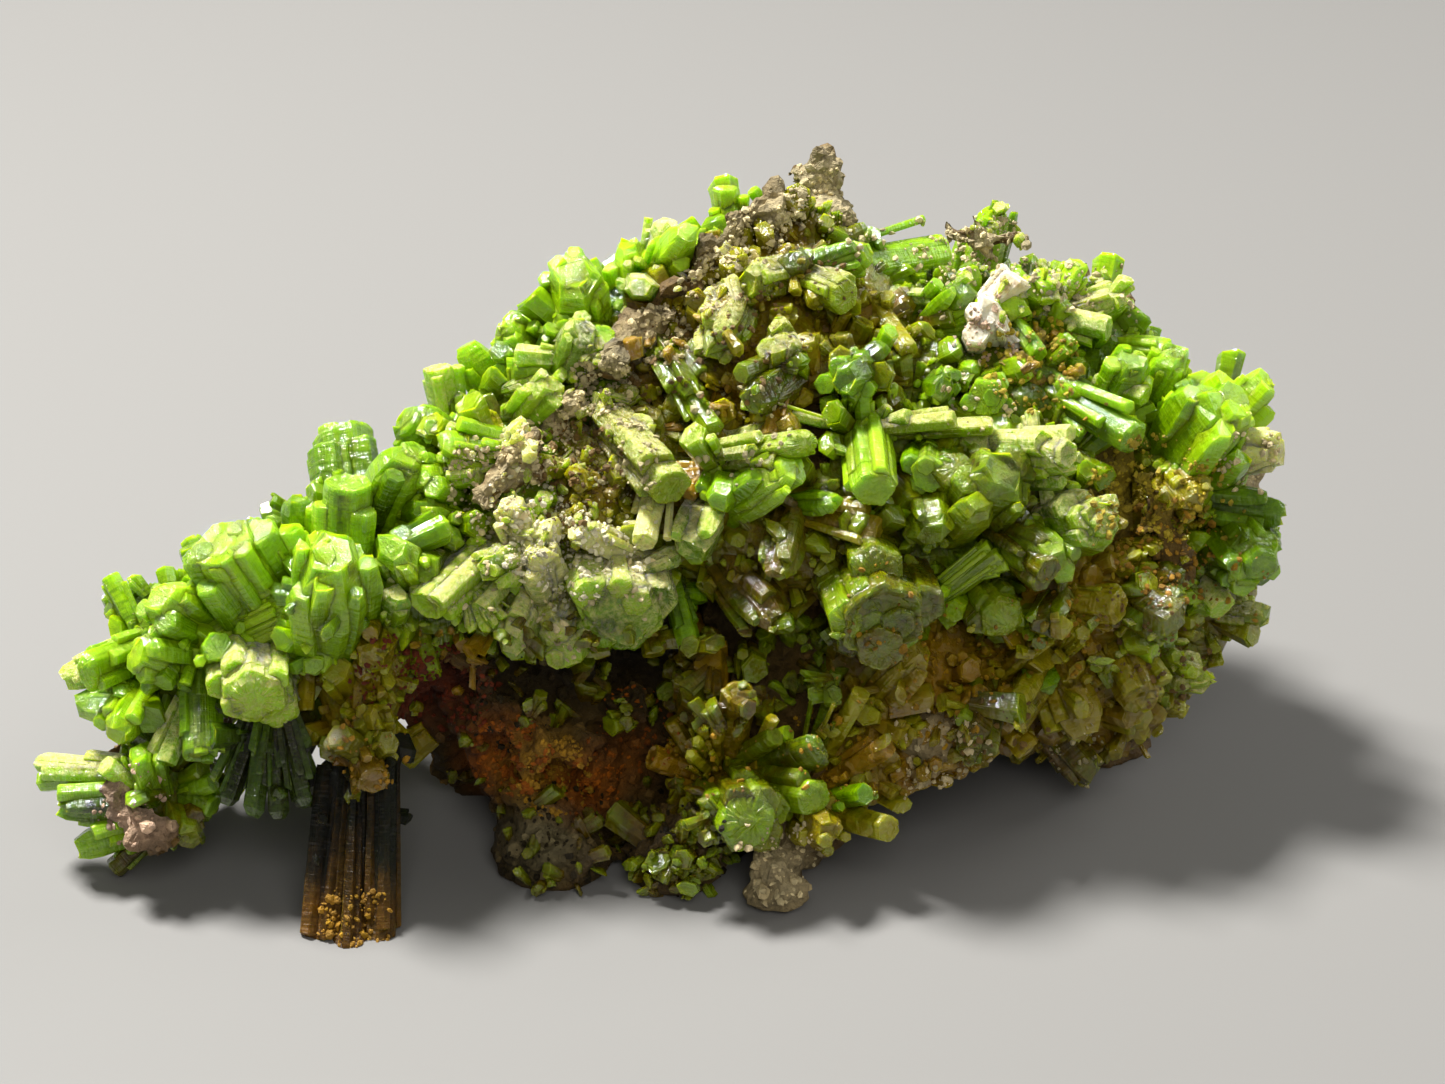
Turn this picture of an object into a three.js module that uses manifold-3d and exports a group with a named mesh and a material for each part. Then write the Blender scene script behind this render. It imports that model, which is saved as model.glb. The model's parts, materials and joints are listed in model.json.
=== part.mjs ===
// Pyromorphite cluster: green hexagonal crystals grown in crusts and sprays over a ridge of brown limonite.
// Millimetres, +Z up. The specimen stands on the plane Z = 0, with its long side along X and its show face
// towards -Y. Crystals that grew together are one solid with the thin crust at their roots, and each crust is
// seated on the rock with a small clearance.
import * as THREE from "three";
import { ConvexGeometry } from "three/addons/geometries/ConvexGeometry.js";
import { mergeVertices } from "three/addons/utils/BufferGeometryUtils.js";
import Module from "manifold-3d";

const wasm = await Module();
wasm.setup();

// ---- Driving dimensions, in millimetres and degrees ----
const SHOW_TILT = THREE.MathUtils.degToRad(28); // the show face is looked at from this far above the table
const EYE_DISTANCE = 150; // from the eye to the show grid
const GRID_CENTRE = [36.1, 27.1]; // the middle of the show grid, across and up
const GRID_HEIGHT = 14.8; // of that middle above the table
const FOOTPRINT_CENTRE = [-2.2, 4.1]; // middle of the specimen's box, in X and Y
const SEAT_GAP = 0.32; // between a crust and the rock or the crust beside it
const SEAT_SLACK = 0.06; // a little more, so that no face of a crust lies on its seat
const CRUST_THICKNESS = 1.5; // massive pyromorphite at the crystals' roots
const CRUST_REACH = 2.3; // how far the crust spreads round each crystal's root
const ROOT_DEPTH = 0.9; // of a crystal's root below the face of its crust
const ROOT_REACH = 2.4; // the most that a crystal is lengthened to root it
const CELL_REACH = 1.5; // from the middle of a cell's crust to a root that stands in it
const STATIONS = 19; // rings of the rock along X
const RING_SIDES = 15; // corners of each ring
const END_CROWDING = 0.2; // share by which the rings crowd towards the two ends
const RELIEF = 0.45; // height of the ledges and depth of the pits in the rock
const SEARCH_RADIUS = 30; // from the spine, clear outside the rock
const SEARCH_STEP = 0.25;
const THINNEST_ROCK = 0.3; // from the spine to the skin
const TABLE_SIZE = 200; // block under the specimen, against which its feet are flat

// ---- Show frame: across, up and into the show face, as seen by the eye ----
const ACROSS = new THREE.Vector3(1, 0, 0);
const UP = new THREE.Vector3(0, Math.sin(SHOW_TILT), Math.cos(SHOW_TILT));
const INTO = new THREE.Vector3(0, Math.cos(SHOW_TILT), -Math.sin(SHOW_TILT));
const EYE = new THREE.Vector3(0, 0, GRID_HEIGHT).addScaledVector(INTO, -EYE_DISTANCE);

// The point seen at (u, v) on the show grid, at depth w behind the grid.
function showPoint(u, v, w) {
  return new THREE.Vector3()
    .addScaledVector(ACROSS, u - GRID_CENTRE[0])
    .addScaledVector(UP, v - GRID_CENTRE[1])
    .addScaledVector(INTO, EYE_DISTANCE)
    .multiplyScalar(1 + w / EYE_DISTANCE)
    .add(EYE);
}

// The way a crystal's free end points: turn is anticlockwise from across, rise is out towards the eye.
function showDirection(turn, rise) {
  const [t, r] = [turn, rise].map(THREE.MathUtils.degToRad);
  return new THREE.Vector3()
    .addScaledVector(ACROSS, Math.cos(t) * Math.cos(r))
    .addScaledVector(UP, Math.sin(t) * Math.cos(r))
    .addScaledVector(INTO, -Math.sin(r));
}

// A repeatable number for each seed, from 0 to 1 and from -amount to amount.
function chance(seed) {
  const wave = Math.sin(seed * 127.1 + 311.7) * 43758.5453;
  return wave - Math.floor(wave);
}

function spread(seed, amount) {
  return (chance(seed) * 2 - 1) * amount;
}

// ---- Rock ----
// Each mass is [across, up, into, half width, half height, half depth].
const ROCK_MASSES = [
  [50.2, 28.2, 7, 9.8, 9.0, 7.8], // right
  [40.5, 29.6, 4, 9.0, 8.4, 6.4], // middle
  [39.6, 40.0, 5.5, 4.4, 4.4, 3.4], // peak
  [35.0, 38.0, 4.6, 4.0, 3.8, 3.4], // ridge below the peak
  [30.6, 34.0, 3.0, 4.4, 3.8, 3.6], // ridge, halfway down
  [49.4, 36.6, 8, 7.6, 4.4, 5.2], // shoulder right of the peak
  [27.0, 28.0, 2, 7.0, 4.6, 4.8], // left middle
  [19.0, 25.0, 1, 7.2, 3.2, 3.8], // left arm
  [10.4, 21.4, 1, 4.0, 3.4, 3.4], // left end
  [7.0, 14.6, 1, 2.6, 1.8, 2.4], // lobe below the left end
  [9.0, 17.4, 1.4, 2.2, 2.4, 2.2], // neck of the lobe
  [41.0, 17.2, 2, 7.2, 4.4, 4.4], // lower front
  [28.4, 17.0, 4, 7.6, 3.0, 5.0], // rusty ledge
  [25.6, 14.2, 4.6, 4.4, 3.0, 4.0], // underside of the ledge
  [32.6, 12.4, 3.4, 4.2, 4.0, 4.2], // foot behind the ledge
  [53.2, 20.8, 9, 6.2, 4.2, 5.6], // lower right
  [60.2, 30.2, 8, 2.8, 5.2, 5.0], // right end
  [17.6, 16.4, -1.6, 2.2, 4.4, 2.2], // root of the standing crystal
  [24.0, 22.6, 3, 5.0, 3.4, 3.8], // under the left middle
  [38.0, 23.0, 12.0, 11.4, 7.0, 6.2], // back
];
const ROCK_KNOBS = [
  [40.9, 42.5, 5.5, 2.8, 2.4, 2.6], // top of the peak
  [41.3, 44.9, 5.5, 1.2, 1.6, 1.2], // earthy tip
  [38.8, 10.2, -2.2, 1.9, 1.7, 1.7], // front foot
  [39.6, 13.0, 0.6, 2.4, 2.6, 3.2], // its neck
  [33.8, 11.6, 0.8, 2.9, 2.5, 4.0], // lump left of the front foot
  [27.6, 11.8, 0.8, 3.2, 2.7, 2.9], // lump under the ledge
  [54.6, 16.8, 11.4, 3.2, 2.6, 3.0], // right foot
  [33.0, 18.4, 16.6, 4.6, 3.6, 3.4], // back foot
];
const RIDGE_KNOBS = [ // plainer lumps down the ridge from the peak
  [38.4, 41.2, 4.0, 2.8, 2.4, 3.2],
  [35.0, 38.6, 2.8, 2.8, 2.6, 3.2],
  [31.6, 35.6, 1.6, 2.6, 2.6, 3.0],
  [28.4, 32.4, 0.2, 2.6, 2.6, 2.8],
];
const HOLLOW = [34.6, 20.8, -3.4, 5.4, 2.6, 5.6]; // between the middle crystals and the ledge
const SPINE = [ // runs inside the rock from end to end, on the show grid
  [4.6, 14.8, 1], [7.4, 15.6, 1], [9.6, 18.6, 1], [13, 22.6, 1], [19, 25, 1],
  [27, 28, 2.2], [41, 29.5, 6], [50.5, 28.2, 7.5], [60.6, 30.2, 8], [63.4, 30.2, 8],
].map(([u, v, w]) => showPoint(u, v, w));

// Signed distance from a point to a mass, negative inside it.
function massDistance(point, [u, v, w, ...radii]) {
  const offset = point.clone().sub(showPoint(u, v, w));
  const local = [offset.dot(ACROSS), offset.dot(UP), offset.dot(INTO)];
  const reach = Math.hypot(...local.map((x, i) => x / radii[i]));
  const slope = Math.hypot(...local.map((x, i) => x / radii[i] ** 2));
  return slope > 0 ? (reach * (reach - 1)) / slope : -Math.min(...radii);
}

function rockDistance(point) {
  const outside = Math.min(...ROCK_MASSES.map((mass) => massDistance(point, mass)));
  return Math.max(outside, -massDistance(point, HOLLOW));
}

// Ledges and pits of broken rock, from about -1 to 1.
function relief({ x, y, z }) {
  const swell = Math.sin(0.9 * x + 0.4 * y) * Math.sin(0.8 * z - 0.7 * y + 1.3);
  const ledge = Math.tanh(4 * Math.sin(1.1 * z - 0.5 * x + 2 * swell));
  return 0.5 * swell + 0.5 * ledge * Math.sin(0.7 * x + 0.9 * y);
}

function spineAt(x) {
  const after = Math.max(1, SPINE.findIndex((point) => point.x >= x));
  const [a, b] = [SPINE[after - 1], SPINE[after]];
  return a.clone().lerp(b, (x - a.x) / (b.x - a.x));
}

// Point of the rock's skin found by coming in towards the spine, round an angle from +Y over +Z.
function skinPoint(x, angle) {
  const outward = new THREE.Vector3(0, Math.cos(angle), Math.sin(angle));
  const centre = spineAt(x);
  const along = (reach) => centre.clone().addScaledVector(outward, reach);
  let reach = SEARCH_RADIUS;
  while (reach > THINNEST_ROCK && rockDistance(along(reach)) > 0) reach -= SEARCH_STEP;
  const skin = along(reach);
  return skin.addScaledVector(outward, RELIEF * relief(skin) * Math.min(1, reach / 2));
}

const SPINE_ENDS = [SPINE[0].x, SPINE.at(-1).x];
function stationX(station) {
  const even = (station + 1) / (STATIONS + 1);
  const crowded = (1 - Math.cos(even * Math.PI)) / 2;
  return THREE.MathUtils.lerp(...SPINE_ENDS, THREE.MathUtils.lerp(even, crowded, END_CROWDING));
}

const cornerOf = (station, side) => station * RING_SIDES + ((side + RING_SIDES) % RING_SIDES);
const RING_CORNERS = Array.from({ length: STATIONS * RING_SIDES }, (_, corner) =>
  skinPoint(stationX(Math.floor(corner / RING_SIDES)), ((corner % RING_SIDES) / RING_SIDES) * Math.PI * 2),
);

// The rock's skin: rings of corners with a cell between each four, closed by a point at each end.
const ALL_CELLS = Array.from({ length: (STATIONS - 1) * RING_SIDES }, (_, cell) => cell);
function cellCorners(cell) {
  const [station, side] = [Math.floor(cell / RING_SIDES), cell % RING_SIDES];
  return [[0, 0], [0, 1], [1, 1], [1, 0]].map(([i, j]) => cornerOf(station + i, side + j));
}

function rockGeometry(isClosed = true) {
  const corners = [...RING_CORNERS, SPINE[0], SPINE.at(-1)];
  const [left, right] = [RING_CORNERS.length, RING_CORNERS.length + 1];
  const faces = ALL_CELLS.flatMap((cell) => {
    const [a, b, c, d] = cellCorners(cell);
    return [a, b, c, a, c, d];
  });
  for (let side = 0; isClosed && side < RING_SIDES; side++) {
    faces.push(left, cornerOf(0, side + 1), cornerOf(0, side));
    faces.push(right, cornerOf(STATIONS - 1, side), cornerOf(STATIONS - 1, side + 1));
  }
  const geometry = new THREE.BufferGeometry().setFromPoints(corners).setIndex(faces);
  geometry.computeVertexNormals();
  return geometry;
}

// The rock's skin with each corner moved out along its normal.
function grownGeometry(grow, isClosed = true) {
  const geometry = rockGeometry(isClosed);
  const { position, normal } = geometry.attributes;
  for (let i = 0; i < position.count; i++) {
    const out = new THREE.Vector3().fromBufferAttribute(normal, i).multiplyScalar(grow);
    position.setXYZ(i, position.getX(i) + out.x, position.getY(i) + out.y, position.getZ(i) + out.z);
  }
  return geometry;
}

const ROCK_NORMALS = rockGeometry().attributes.normal;
const skinNormal = (corner) => new THREE.Vector3().fromBufferAttribute(ROCK_NORMALS, corner);
const CRUST_HEIGHT = SEAT_GAP + SEAT_SLACK + CRUST_THICKNESS;
const crustFace = new THREE.Mesh(grownGeometry(CRUST_HEIGHT, false)); // none at the two ends

// Where a line meets the face of the crust from outside, if it does.
function meetsCrust(from, direction) {
  return new THREE.Raycaster(from, direction).intersectObject(crustFace)[0];
}

// Where the line of sight through (u, v) meets the crust, or passes closest to it.
function seatPoint(u, v) {
  const sight = showPoint(u, v, 0).sub(EYE).normalize();
  const hit = meetsCrust(EYE, sight);
  if (hit) return hit.point;
  const passing = Array.from({ length: 160 }, (_, i) => showPoint(u, v, i * 0.25 - 14));
  const distances = passing.map(rockDistance);
  return passing[distances.indexOf(Math.min(...distances))];
}

// The middle of each cell, and of the crust that can cover it.
function middleOf(points) {
  return points.reduce((sum, point) => sum.add(point), new THREE.Vector3()).divideScalar(points.length);
}
const CELL_CENTRES = ALL_CELLS.map((cell) =>
  middleOf(cellCorners(cell).map((corner) => RING_CORNERS[corner])),
);
const CRUST_MIDDLES = ALL_CELLS.map((cell) =>
  middleOf(cellCorners(cell).map(skinNormal))
    .setLength(SEAT_GAP + CRUST_THICKNESS / 2)
    .add(CELL_CENTRES[cell]),
);

function nearestCell(cells, point) {
  const distance = (cell) => CRUST_MIDDLES[cell].distanceTo(point);
  return cells.reduce((best, cell) => (distance(cell) < distance(best) ? cell : best));
}

// ---- Solids ----
function solidOf(geometry, tolerance = 1e-4) {
  const bare = geometry.clone();
  bare.deleteAttribute("normal");
  bare.deleteAttribute("uv");
  const { attributes, index } = mergeVertices(bare, tolerance);
  return new wasm.Manifold(
    new wasm.Mesh({
      numProp: 3,
      vertProperties: new Float32Array(attributes.position.array),
      triVerts: new Uint32Array(index.array),
    }),
  );
}

const hullOf = (points) => solidOf(new ConvexGeometry(points));
const joined = (solids) => solids.reduce((all, next) => all.add(next));

// A rock knob, with each corner pushed out or in by the relief.
function knobSolid([u, v, w, ...radii], detail, grow) {
  const bare = new THREE.IcosahedronGeometry(1, detail);
  bare.deleteAttribute("normal");
  bare.deleteAttribute("uv");
  const geometry = mergeVertices(bare, 1e-4);
  const position = geometry.attributes.position;
  for (let i = 0; i < position.count; i++) {
    const [x, y, z] = new THREE.Vector3().fromBufferAttribute(position, i).toArray();
    const skin = new THREE.Vector3()
      .addScaledVector(ACROSS, x * radii[0])
      .addScaledVector(UP, y * radii[1])
      .addScaledVector(INTO, -z * radii[2]);
    const reach = skin.length();
    const centre = showPoint(u, v, w);
    const height = RELIEF * relief(skin.clone().add(centre)) + grow;
    position.setXYZ(i, ...skin.multiplyScalar(1 + height / reach).add(centre).toArray());
  }
  return solidOf(geometry);
}

function rockSolid(grow = 0) {
  return joined([
    solidOf(grownGeometry(grow)),
    ...ROCK_KNOBS.map((knob) => knobSolid(knob, 1, grow)),
    ...RIDGE_KNOBS.map((knob) => knobSolid(knob, 0, grow)),
  ]);
}

// ---- One crystal ----
// A prism is regular, a chunk is stout and uneven, a plate is flattened and a needle is thin. Widths at the
// collar, shoulder and end are shares of the crystal's width.
const FORMS = {
  prism: { sides: 6, collar: 0.86, shoulder: 1, end: 0.8, uneven: 0.07, flatness: 1 },
  chunk: { sides: 5, collar: 0.94, shoulder: 0.96, end: 0.6, uneven: 0.2, flatness: 0.9 },
  plate: { sides: 6, collar: 0.86, shoulder: 1, end: 0.8, uneven: 0.12, flatness: 0.5 },
  needle: { sides: 4, collar: 1, shoulder: 0.8, end: 0.7, uneven: 0.05, flatness: 1 },
};
const BEVELLED_WIDTH = 2.5; // a crystal at least this wide shows the bevel round its end
const BEVEL_DEPTH = { prism: 0.1, chunk: 0.22, plate: 0.1 }; // of the bevel, as a share of the width

// A crystal is a point in the crust, a collar where it leaves the crust, a shoulder and an end.
function crystalSolid({ form, root, axis, length, width, seed }, grow = 0) {
  const { sides, collar, shoulder, end, uneven, flatness } = FORMS[form];
  const rings = [[Math.min(ROOT_DEPTH, length / 3), collar]];
  if (width >= BEVELLED_WIDTH) rings.push([length - BEVEL_DEPTH[form] * width, shoulder], [length, end]);
  else rings.push([length, shoulder]);
  const side = axis.clone().cross(Math.abs(axis.z) > 0.9 ? ACROSS : new THREE.Vector3(0, 0, 1)).normalize();
  side.applyAxisAngle(axis, chance(seed) * Math.PI);
  const front = axis.clone().cross(side);
  const points = rings.flatMap(([height, share], ring) =>
    Array.from({ length: sides }, (_, corner) => {
      const angle = (corner / sides) * Math.PI * 2;
      const radius = (width / 2) * share * (1 + spread(seed * 7 + corner, uneven)) + grow;
      const tilt = ring > 0 ? spread(seed * 11 + corner, uneven * width * 0.4) + grow : -grow;
      return root.clone()
        .addScaledVector(axis, height + tilt)
        .addScaledVector(side, Math.cos(angle) * radius)
        .addScaledVector(front, Math.sin(angle) * radius * flatness);
    }),
  );
  return hullOf([root.clone().addScaledVector(axis, -grow), ...points]);
}

// Runs a crystal back from its tip until it is rooted in the crust, if it meets one.
function rooted({ middle, length, axis, ...rest }) {
  const tip = middle.clone().addScaledVector(axis, length / 2);
  const hit = meetsCrust(tip, axis.clone().negate());
  const reach = hit && hit.distance < length + ROOT_REACH ? hit.distance + ROOT_DEPTH : length;
  return { ...rest, axis, tip, length: reach, root: tip.clone().addScaledVector(axis, -reach) };
}

// Leans a crystal that would stand outside its own crust, with its tip kept, so that it is rooted there.
function leaned(crystal, cells, owners, name) {
  if (!cells.length) return crystal;
  const nearest = nearestCell(ALL_CELLS, crystal.root);
  const isInside = CRUST_MIDDLES[nearest].distanceTo(crystal.root) < CELL_REACH;
  if (isInside && owners[nearest] === name) return crystal;
  const root = CRUST_MIDDLES[nearestCell(cells, crystal.root)];
  const leaning = crystal.tip.clone().sub(root);
  return { ...crystal, root, length: leaning.length(), axis: leaning.normalize() };
}

// ---- Crystals of the show face ----
// Each row is [form, across, up, length, width, turn, rise]: the middle of the crystal on the show grid, its
// size, and the way its free end points. A spray is a fan of needles, and a bundle is prisms side by side.
const SHOW_CRUSTS = {
  left_lobe_cluster: [
    ["plate", 4.4, 15.9, 4.4, 1.8, 172, 10], ["prism", 3.1, 15.3, 2.0, 1.3, 185, 0],
    ["chunk", 3.9, 14.4, 2.6, 2.2, 200, 40], ["chunk", 4.9, 12.9, 2.6, 2.0, 235, 30],
    ["prism", 5.8, 11.8, 2.0, 1.2, 268, 10], ["chunk", 7.5, 15.9, 2.4, 2.0, 100, 50],
    ["chunk", 9.4, 13.3, 2.6, 2.2, 300, 50],
  ],
  left_cluster: [
    ["prism", 6.0, 24.1, 2.8, 1.2, 104, 10], ["plate", 6.2, 22.4, 4.8, 2.4, 228, 20],
    ["chunk", 4.4, 20.6, 2.2, 1.8, 200, 30], ["chunk", 5.0, 19.4, 2.4, 2.0, 215, 50],
    ["chunk", 6.6, 18.4, 3.0, 2.4, 250, 50], ["prism", 8.4, 18.5, 4.8, 1.3, 273, 15],
    ["prism", 10.2, 18.5, 4.8, 2.1, 275, 20], ["chunk", 9.4, 23.8, 3.4, 2.8, 140, 50],
    ["prism", 11.8, 25.8, 4.6, 4.2, 100, 50], ["chunk", 16.8, 25.3, 4.8, 4.4, 80, 50],
    ["bundle", 13.4, 23.3, 3.8, 2.0, 25, 15], ["prism", 12.9, 20.2, 3.6, 3.9, 285, 60],
    ["chunk", 18.8, 21.7, 2.6, 2.4, 270, 60], ["prism", 17.5, 28.0, 5.0, 3.0, 84, 20],
    ["chunk", 19.8, 29.8, 4.6, 3.0, 60, 30], ["chunk", 21.4, 28.3, 2.4, 1.8, 10, 50],
    ["prism", 22.0, 24.6, 2.8, 2.4, 225, 35], ["chunk", 20.2, 26.2, 3.0, 2.6, 120, 60],
  ],
  hanging_fan: [["spray", 13.6, 16.6, 6.0, 3.6, 268, 5]],
  standing_crystal: [["bundle", 17.9, 10.6, 7.6, 3.6, 268, 8]],
  olive_cluster: [
    ["prism", 17.6, 17.1, 2.2, 1.4, 140, 50], ["prism", 18.6, 15.8, 2.0, 1.7, 300, 50],
    ["prism", 19.1, 16.8, 2.0, 1.4, 40, 50],
  ],
  back_slope_cluster: [
    ["prism", 22.2, 34.4, 3.0, 1.7, 98, 20], ["prism", 24.2, 34.5, 2.8, 1.2, 5, 20],
    ["chunk", 23.6, 31.8, 3.2, 2.0, 170, 30], ["chunk", 20.8, 32.0, 3.6, 3.0, 110, 40],
    ["chunk", 29.2, 39.0, 4.2, 3.4, 110, 40], ["chunk", 26.0, 37.0, 2.8, 2.2, 120, 30],
    ["chunk", 28.8, 36.8, 3.2, 2.4, 60, 50], ["chunk", 31.6, 40.8, 3.0, 2.4, 100, 30],
    ["chunk", 33.8, 42.0, 2.4, 1.9, 110, 30], ["prism", 36.4, 43.5, 2.6, 1.7, 95, 20],
    ["chunk", 27.2, 34.4, 2.8, 2.2, 40, 50], ["chunk", 32.4, 39.0, 2.4, 1.9, 120, 50],
  ],
  pale_crust_cluster: [
    ["prism", 32.5, 30.9, 4.6, 2.7, 312, 40], ["prism", 31.0, 24.4, 3.4, 4.6, 285, 55],
    ["prism", 34.1, 23.4, 3.8, 1.4, 285, 15], ["chunk", 28.5, 22.4, 3.6, 3.0, 250, 50],
    ["chunk", 27.0, 26.0, 3.2, 2.2, 100, 60], ["prism", 26.0, 28.0, 2.6, 1.4, 110, 30],
    ["prism", 32.0, 28.2, 2.6, 1.5, 280, 30], ["chunk", 25.2, 26.2, 2.6, 2.2, 200, 50],
    ["chunk", 26.0, 22.9, 2.6, 2.2, 250, 40], ["chunk", 29.6, 27.2, 2.4, 1.8, 150, 40],
  ],
  middle_cluster: [
    ["plate", 36.8, 32.2, 6.4, 3.4, 355, 15], ["chunk", 38.8, 29.5, 3.8, 2.6, 60, 40],
    ["chunk", 34.8, 27.6, 3.2, 2.6, 250, 50], ["prism", 43.1, 31.8, 5.4, 2.8, 280, 28],
    ["prism", 46.2, 31.2, 2.8, 2.4, 270, 50], ["plate", 47.2, 33.3, 4.6, 2.2, 350, 15],
    ["chunk", 49.2, 29.8, 4.6, 4.2, 60, 60], ["chunk", 52.2, 30.6, 3.6, 3.0, 30, 60],
    ["bundle", 48.7, 25.6, 3.4, 1.7, 38, 25], ["prism", 49.7, 23.8, 2.6, 2.6, 300, 60],
    ["prism", 43.4, 24.9, 5.6, 5.2, 285, 48], ["plate", 42.2, 27.6, 3.6, 1.8, 8, 20],
    ["chunk", 45.2, 22.1, 3.2, 2.2, 0, 60], ["chunk", 38.4, 24.4, 3.6, 2.4, 290, 30],
    ["chunk", 46.4, 28.2, 3.0, 2.6, 280, 60], ["chunk", 54.0, 29.0, 3.8, 3.2, 330, 60],
    ["chunk", 52.0, 26.6, 3.6, 3.0, 300, 60],
  ],
  peak_cluster: [
    ["chunk", 34.2, 35.0, 2.8, 2.2, 300, 40], ["chunk", 36.2, 37.4, 3.2, 2.6, 250, 50],
    ["chunk", 37.4, 34.8, 3.0, 2.4, 270, 60], ["chunk", 39.6, 37.2, 3.0, 2.6, 200, 60],
    ["prism", 42.3, 39.8, 2.6, 2.2, 280, 60], ["chunk", 41.8, 35.8, 2.8, 2.4, 280, 60],
    ["chunk", 40.0, 41.8, 2.6, 2.2, 240, 50], ["chunk", 42.8, 42.2, 2.6, 1.8, 300, 40],
    ["plate", 45.4, 42.0, 3.8, 2.2, 348, 15],
  ],
  shoulder_cluster: [
    ["prism", 45.2, 39.3, 2.9, 1.2, 357, 20], ["chunk", 47.5, 39.9, 2.6, 2.0, 340, 50],
    ["chunk", 50.2, 39.4, 2.6, 1.9, 330, 30], ["prism", 52.0, 39.4, 2.4, 1.6, 80, 40],
    ["prism", 54.1, 38.0, 2.6, 1.4, 345, 20], ["chunk", 55.3, 38.6, 2.2, 1.6, 40, 30],
    ["prism", 49.0, 35.4, 3.2, 2.4, 275, 40], ["chunk", 46.8, 35.6, 2.6, 2.0, 280, 50],
    ["prism", 54.4, 33.3, 5.0, 1.9, 332, 20], ["chunk", 55.6, 36.2, 3.0, 2.4, 0, 60],
  ],
  quartz_knob: [["chunk", 49.3, 38.1, 2.8, 2.5, 90, 75]],
  right_end_cluster: [
    ["chunk", 60.0, 32.5, 5.2, 4.6, 60, 50], ["chunk", 62.3, 34.3, 2.8, 2.2, 50, 20],
    ["chunk", 62.6, 31.7, 3.0, 2.4, 0, 30], ["chunk", 58.0, 35.5, 3.0, 2.4, 70, 40],
    ["prism", 57.2, 36.7, 2.4, 1.4, 350, 30], ["chunk", 61.2, 26.4, 4.2, 3.4, 330, 50],
    ["chunk", 62.9, 28.6, 2.8, 2.2, 350, 20], ["prism", 60.2, 24.7, 2.8, 1.8, 300, 40],
    ["chunk", 62.2, 24.3, 2.6, 2.0, 320, 20],
  ],
  right_face_cluster: [
    ["chunk", 51.4, 23.4, 3.0, 2.2, 290, 60], ["bundle", 52.6, 21.8, 3.6, 1.8, 60, 40],
    ["prism", 55.2, 23.6, 2.2, 1.8, 30, 50], ["chunk", 57.5, 23.7, 3.4, 3.0, 330, 50],
    ["chunk", 58.8, 21.3, 3.0, 2.4, 320, 40], ["chunk", 56.4, 19.8, 3.4, 2.8, 300, 50],
    ["chunk", 53.7, 18.4, 3.4, 2.6, 280, 50], ["prism", 50.6, 19.2, 3.0, 2.2, 250, 50],
    ["chunk", 54.0, 16.4, 2.4, 2.0, 290, 20], ["chunk", 48.6, 17.5, 2.8, 2.2, 250, 40],
  ],
  rosette_cluster: [
    ["prism", 37.1, 18.2, 3.6, 1.7, 97, 35], ["plate", 39.5, 17.2, 3.2, 2.2, 350, 30],
    ["prism", 33.8, 16.6, 2.8, 1.5, 186, 25], ["prism", 35.2, 18.6, 3.0, 1.7, 125, 30],
    ["prism", 34.7, 14.8, 2.8, 1.6, 215, 30], ["prism", 37.4, 14.3, 3.4, 3.6, 270, 62],
    ["prism", 40.0, 15.0, 2.8, 2.2, 330, 40], ["chunk", 41.3, 13.7, 3.0, 2.4, 280, 50],
    ["prism", 43.9, 13.7, 2.4, 1.7, 300, 40],
  ],
};
const BUNDLE_COUNT = 3;
const SPRAY_COUNT = 4;

// The single crystals that a row stands for.
function showCrystals([form, u, v, length, width, turn, rise], seed) {
  const axis = showDirection(turn, rise);
  const lean = THREE.MathUtils.degToRad(rise);
  const lift = 0.36 * (length * Math.sin(lean) + width * Math.cos(lean));
  const middle = seatPoint(u, v).addScaledVector(INTO, -lift);
  if (form !== "spray" && form !== "bundle") return [rooted({ form, middle, axis, length, width, seed })];
  const isSpray = form === "spray";
  const count = isSpray ? SPRAY_COUNT : BUNDLE_COUNT;
  return Array.from({ length: count }, (_, i) => {
    const place = i / (count - 1) - 0.5;
    const fan = place * (isSpray ? 34 : 4);
    return rooted({
      form: isSpray ? "needle" : "prism",
      middle: middle.clone()
        .addScaledVector(showDirection(turn + 90, 0), place * width * 0.66)
        .addScaledVector(axis, spread(seed * 5 + i, length * 0.07)),
      axis: showDirection(turn + fan, rise + spread(seed + i, 6)),
      length: length * (1 - Math.abs(place) * 0.2),
      width: width * (isSpray ? 0.34 : 0.5),
      seed: seed * 13 + i,
    });
  });
}

// ---- Crystals of the far side ----
const FAR_CRUSTS = [ // name, middle along X, middle round the spine from straight back over the top, how many
  ["far_left_cluster", -22, -2, 4],
  ["far_middle_cluster", -3, 22, 5],
  ["far_top_cluster", 11, 30, 4],
  ["far_right_cluster", 18, 4, 5],
];
const FAR_SPACING = 2.6; // between neighbouring crystals
const FAR_WIDTHS = [2.4, 3.6];
const LOWEST_ROOT = 3; // above the table

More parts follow.
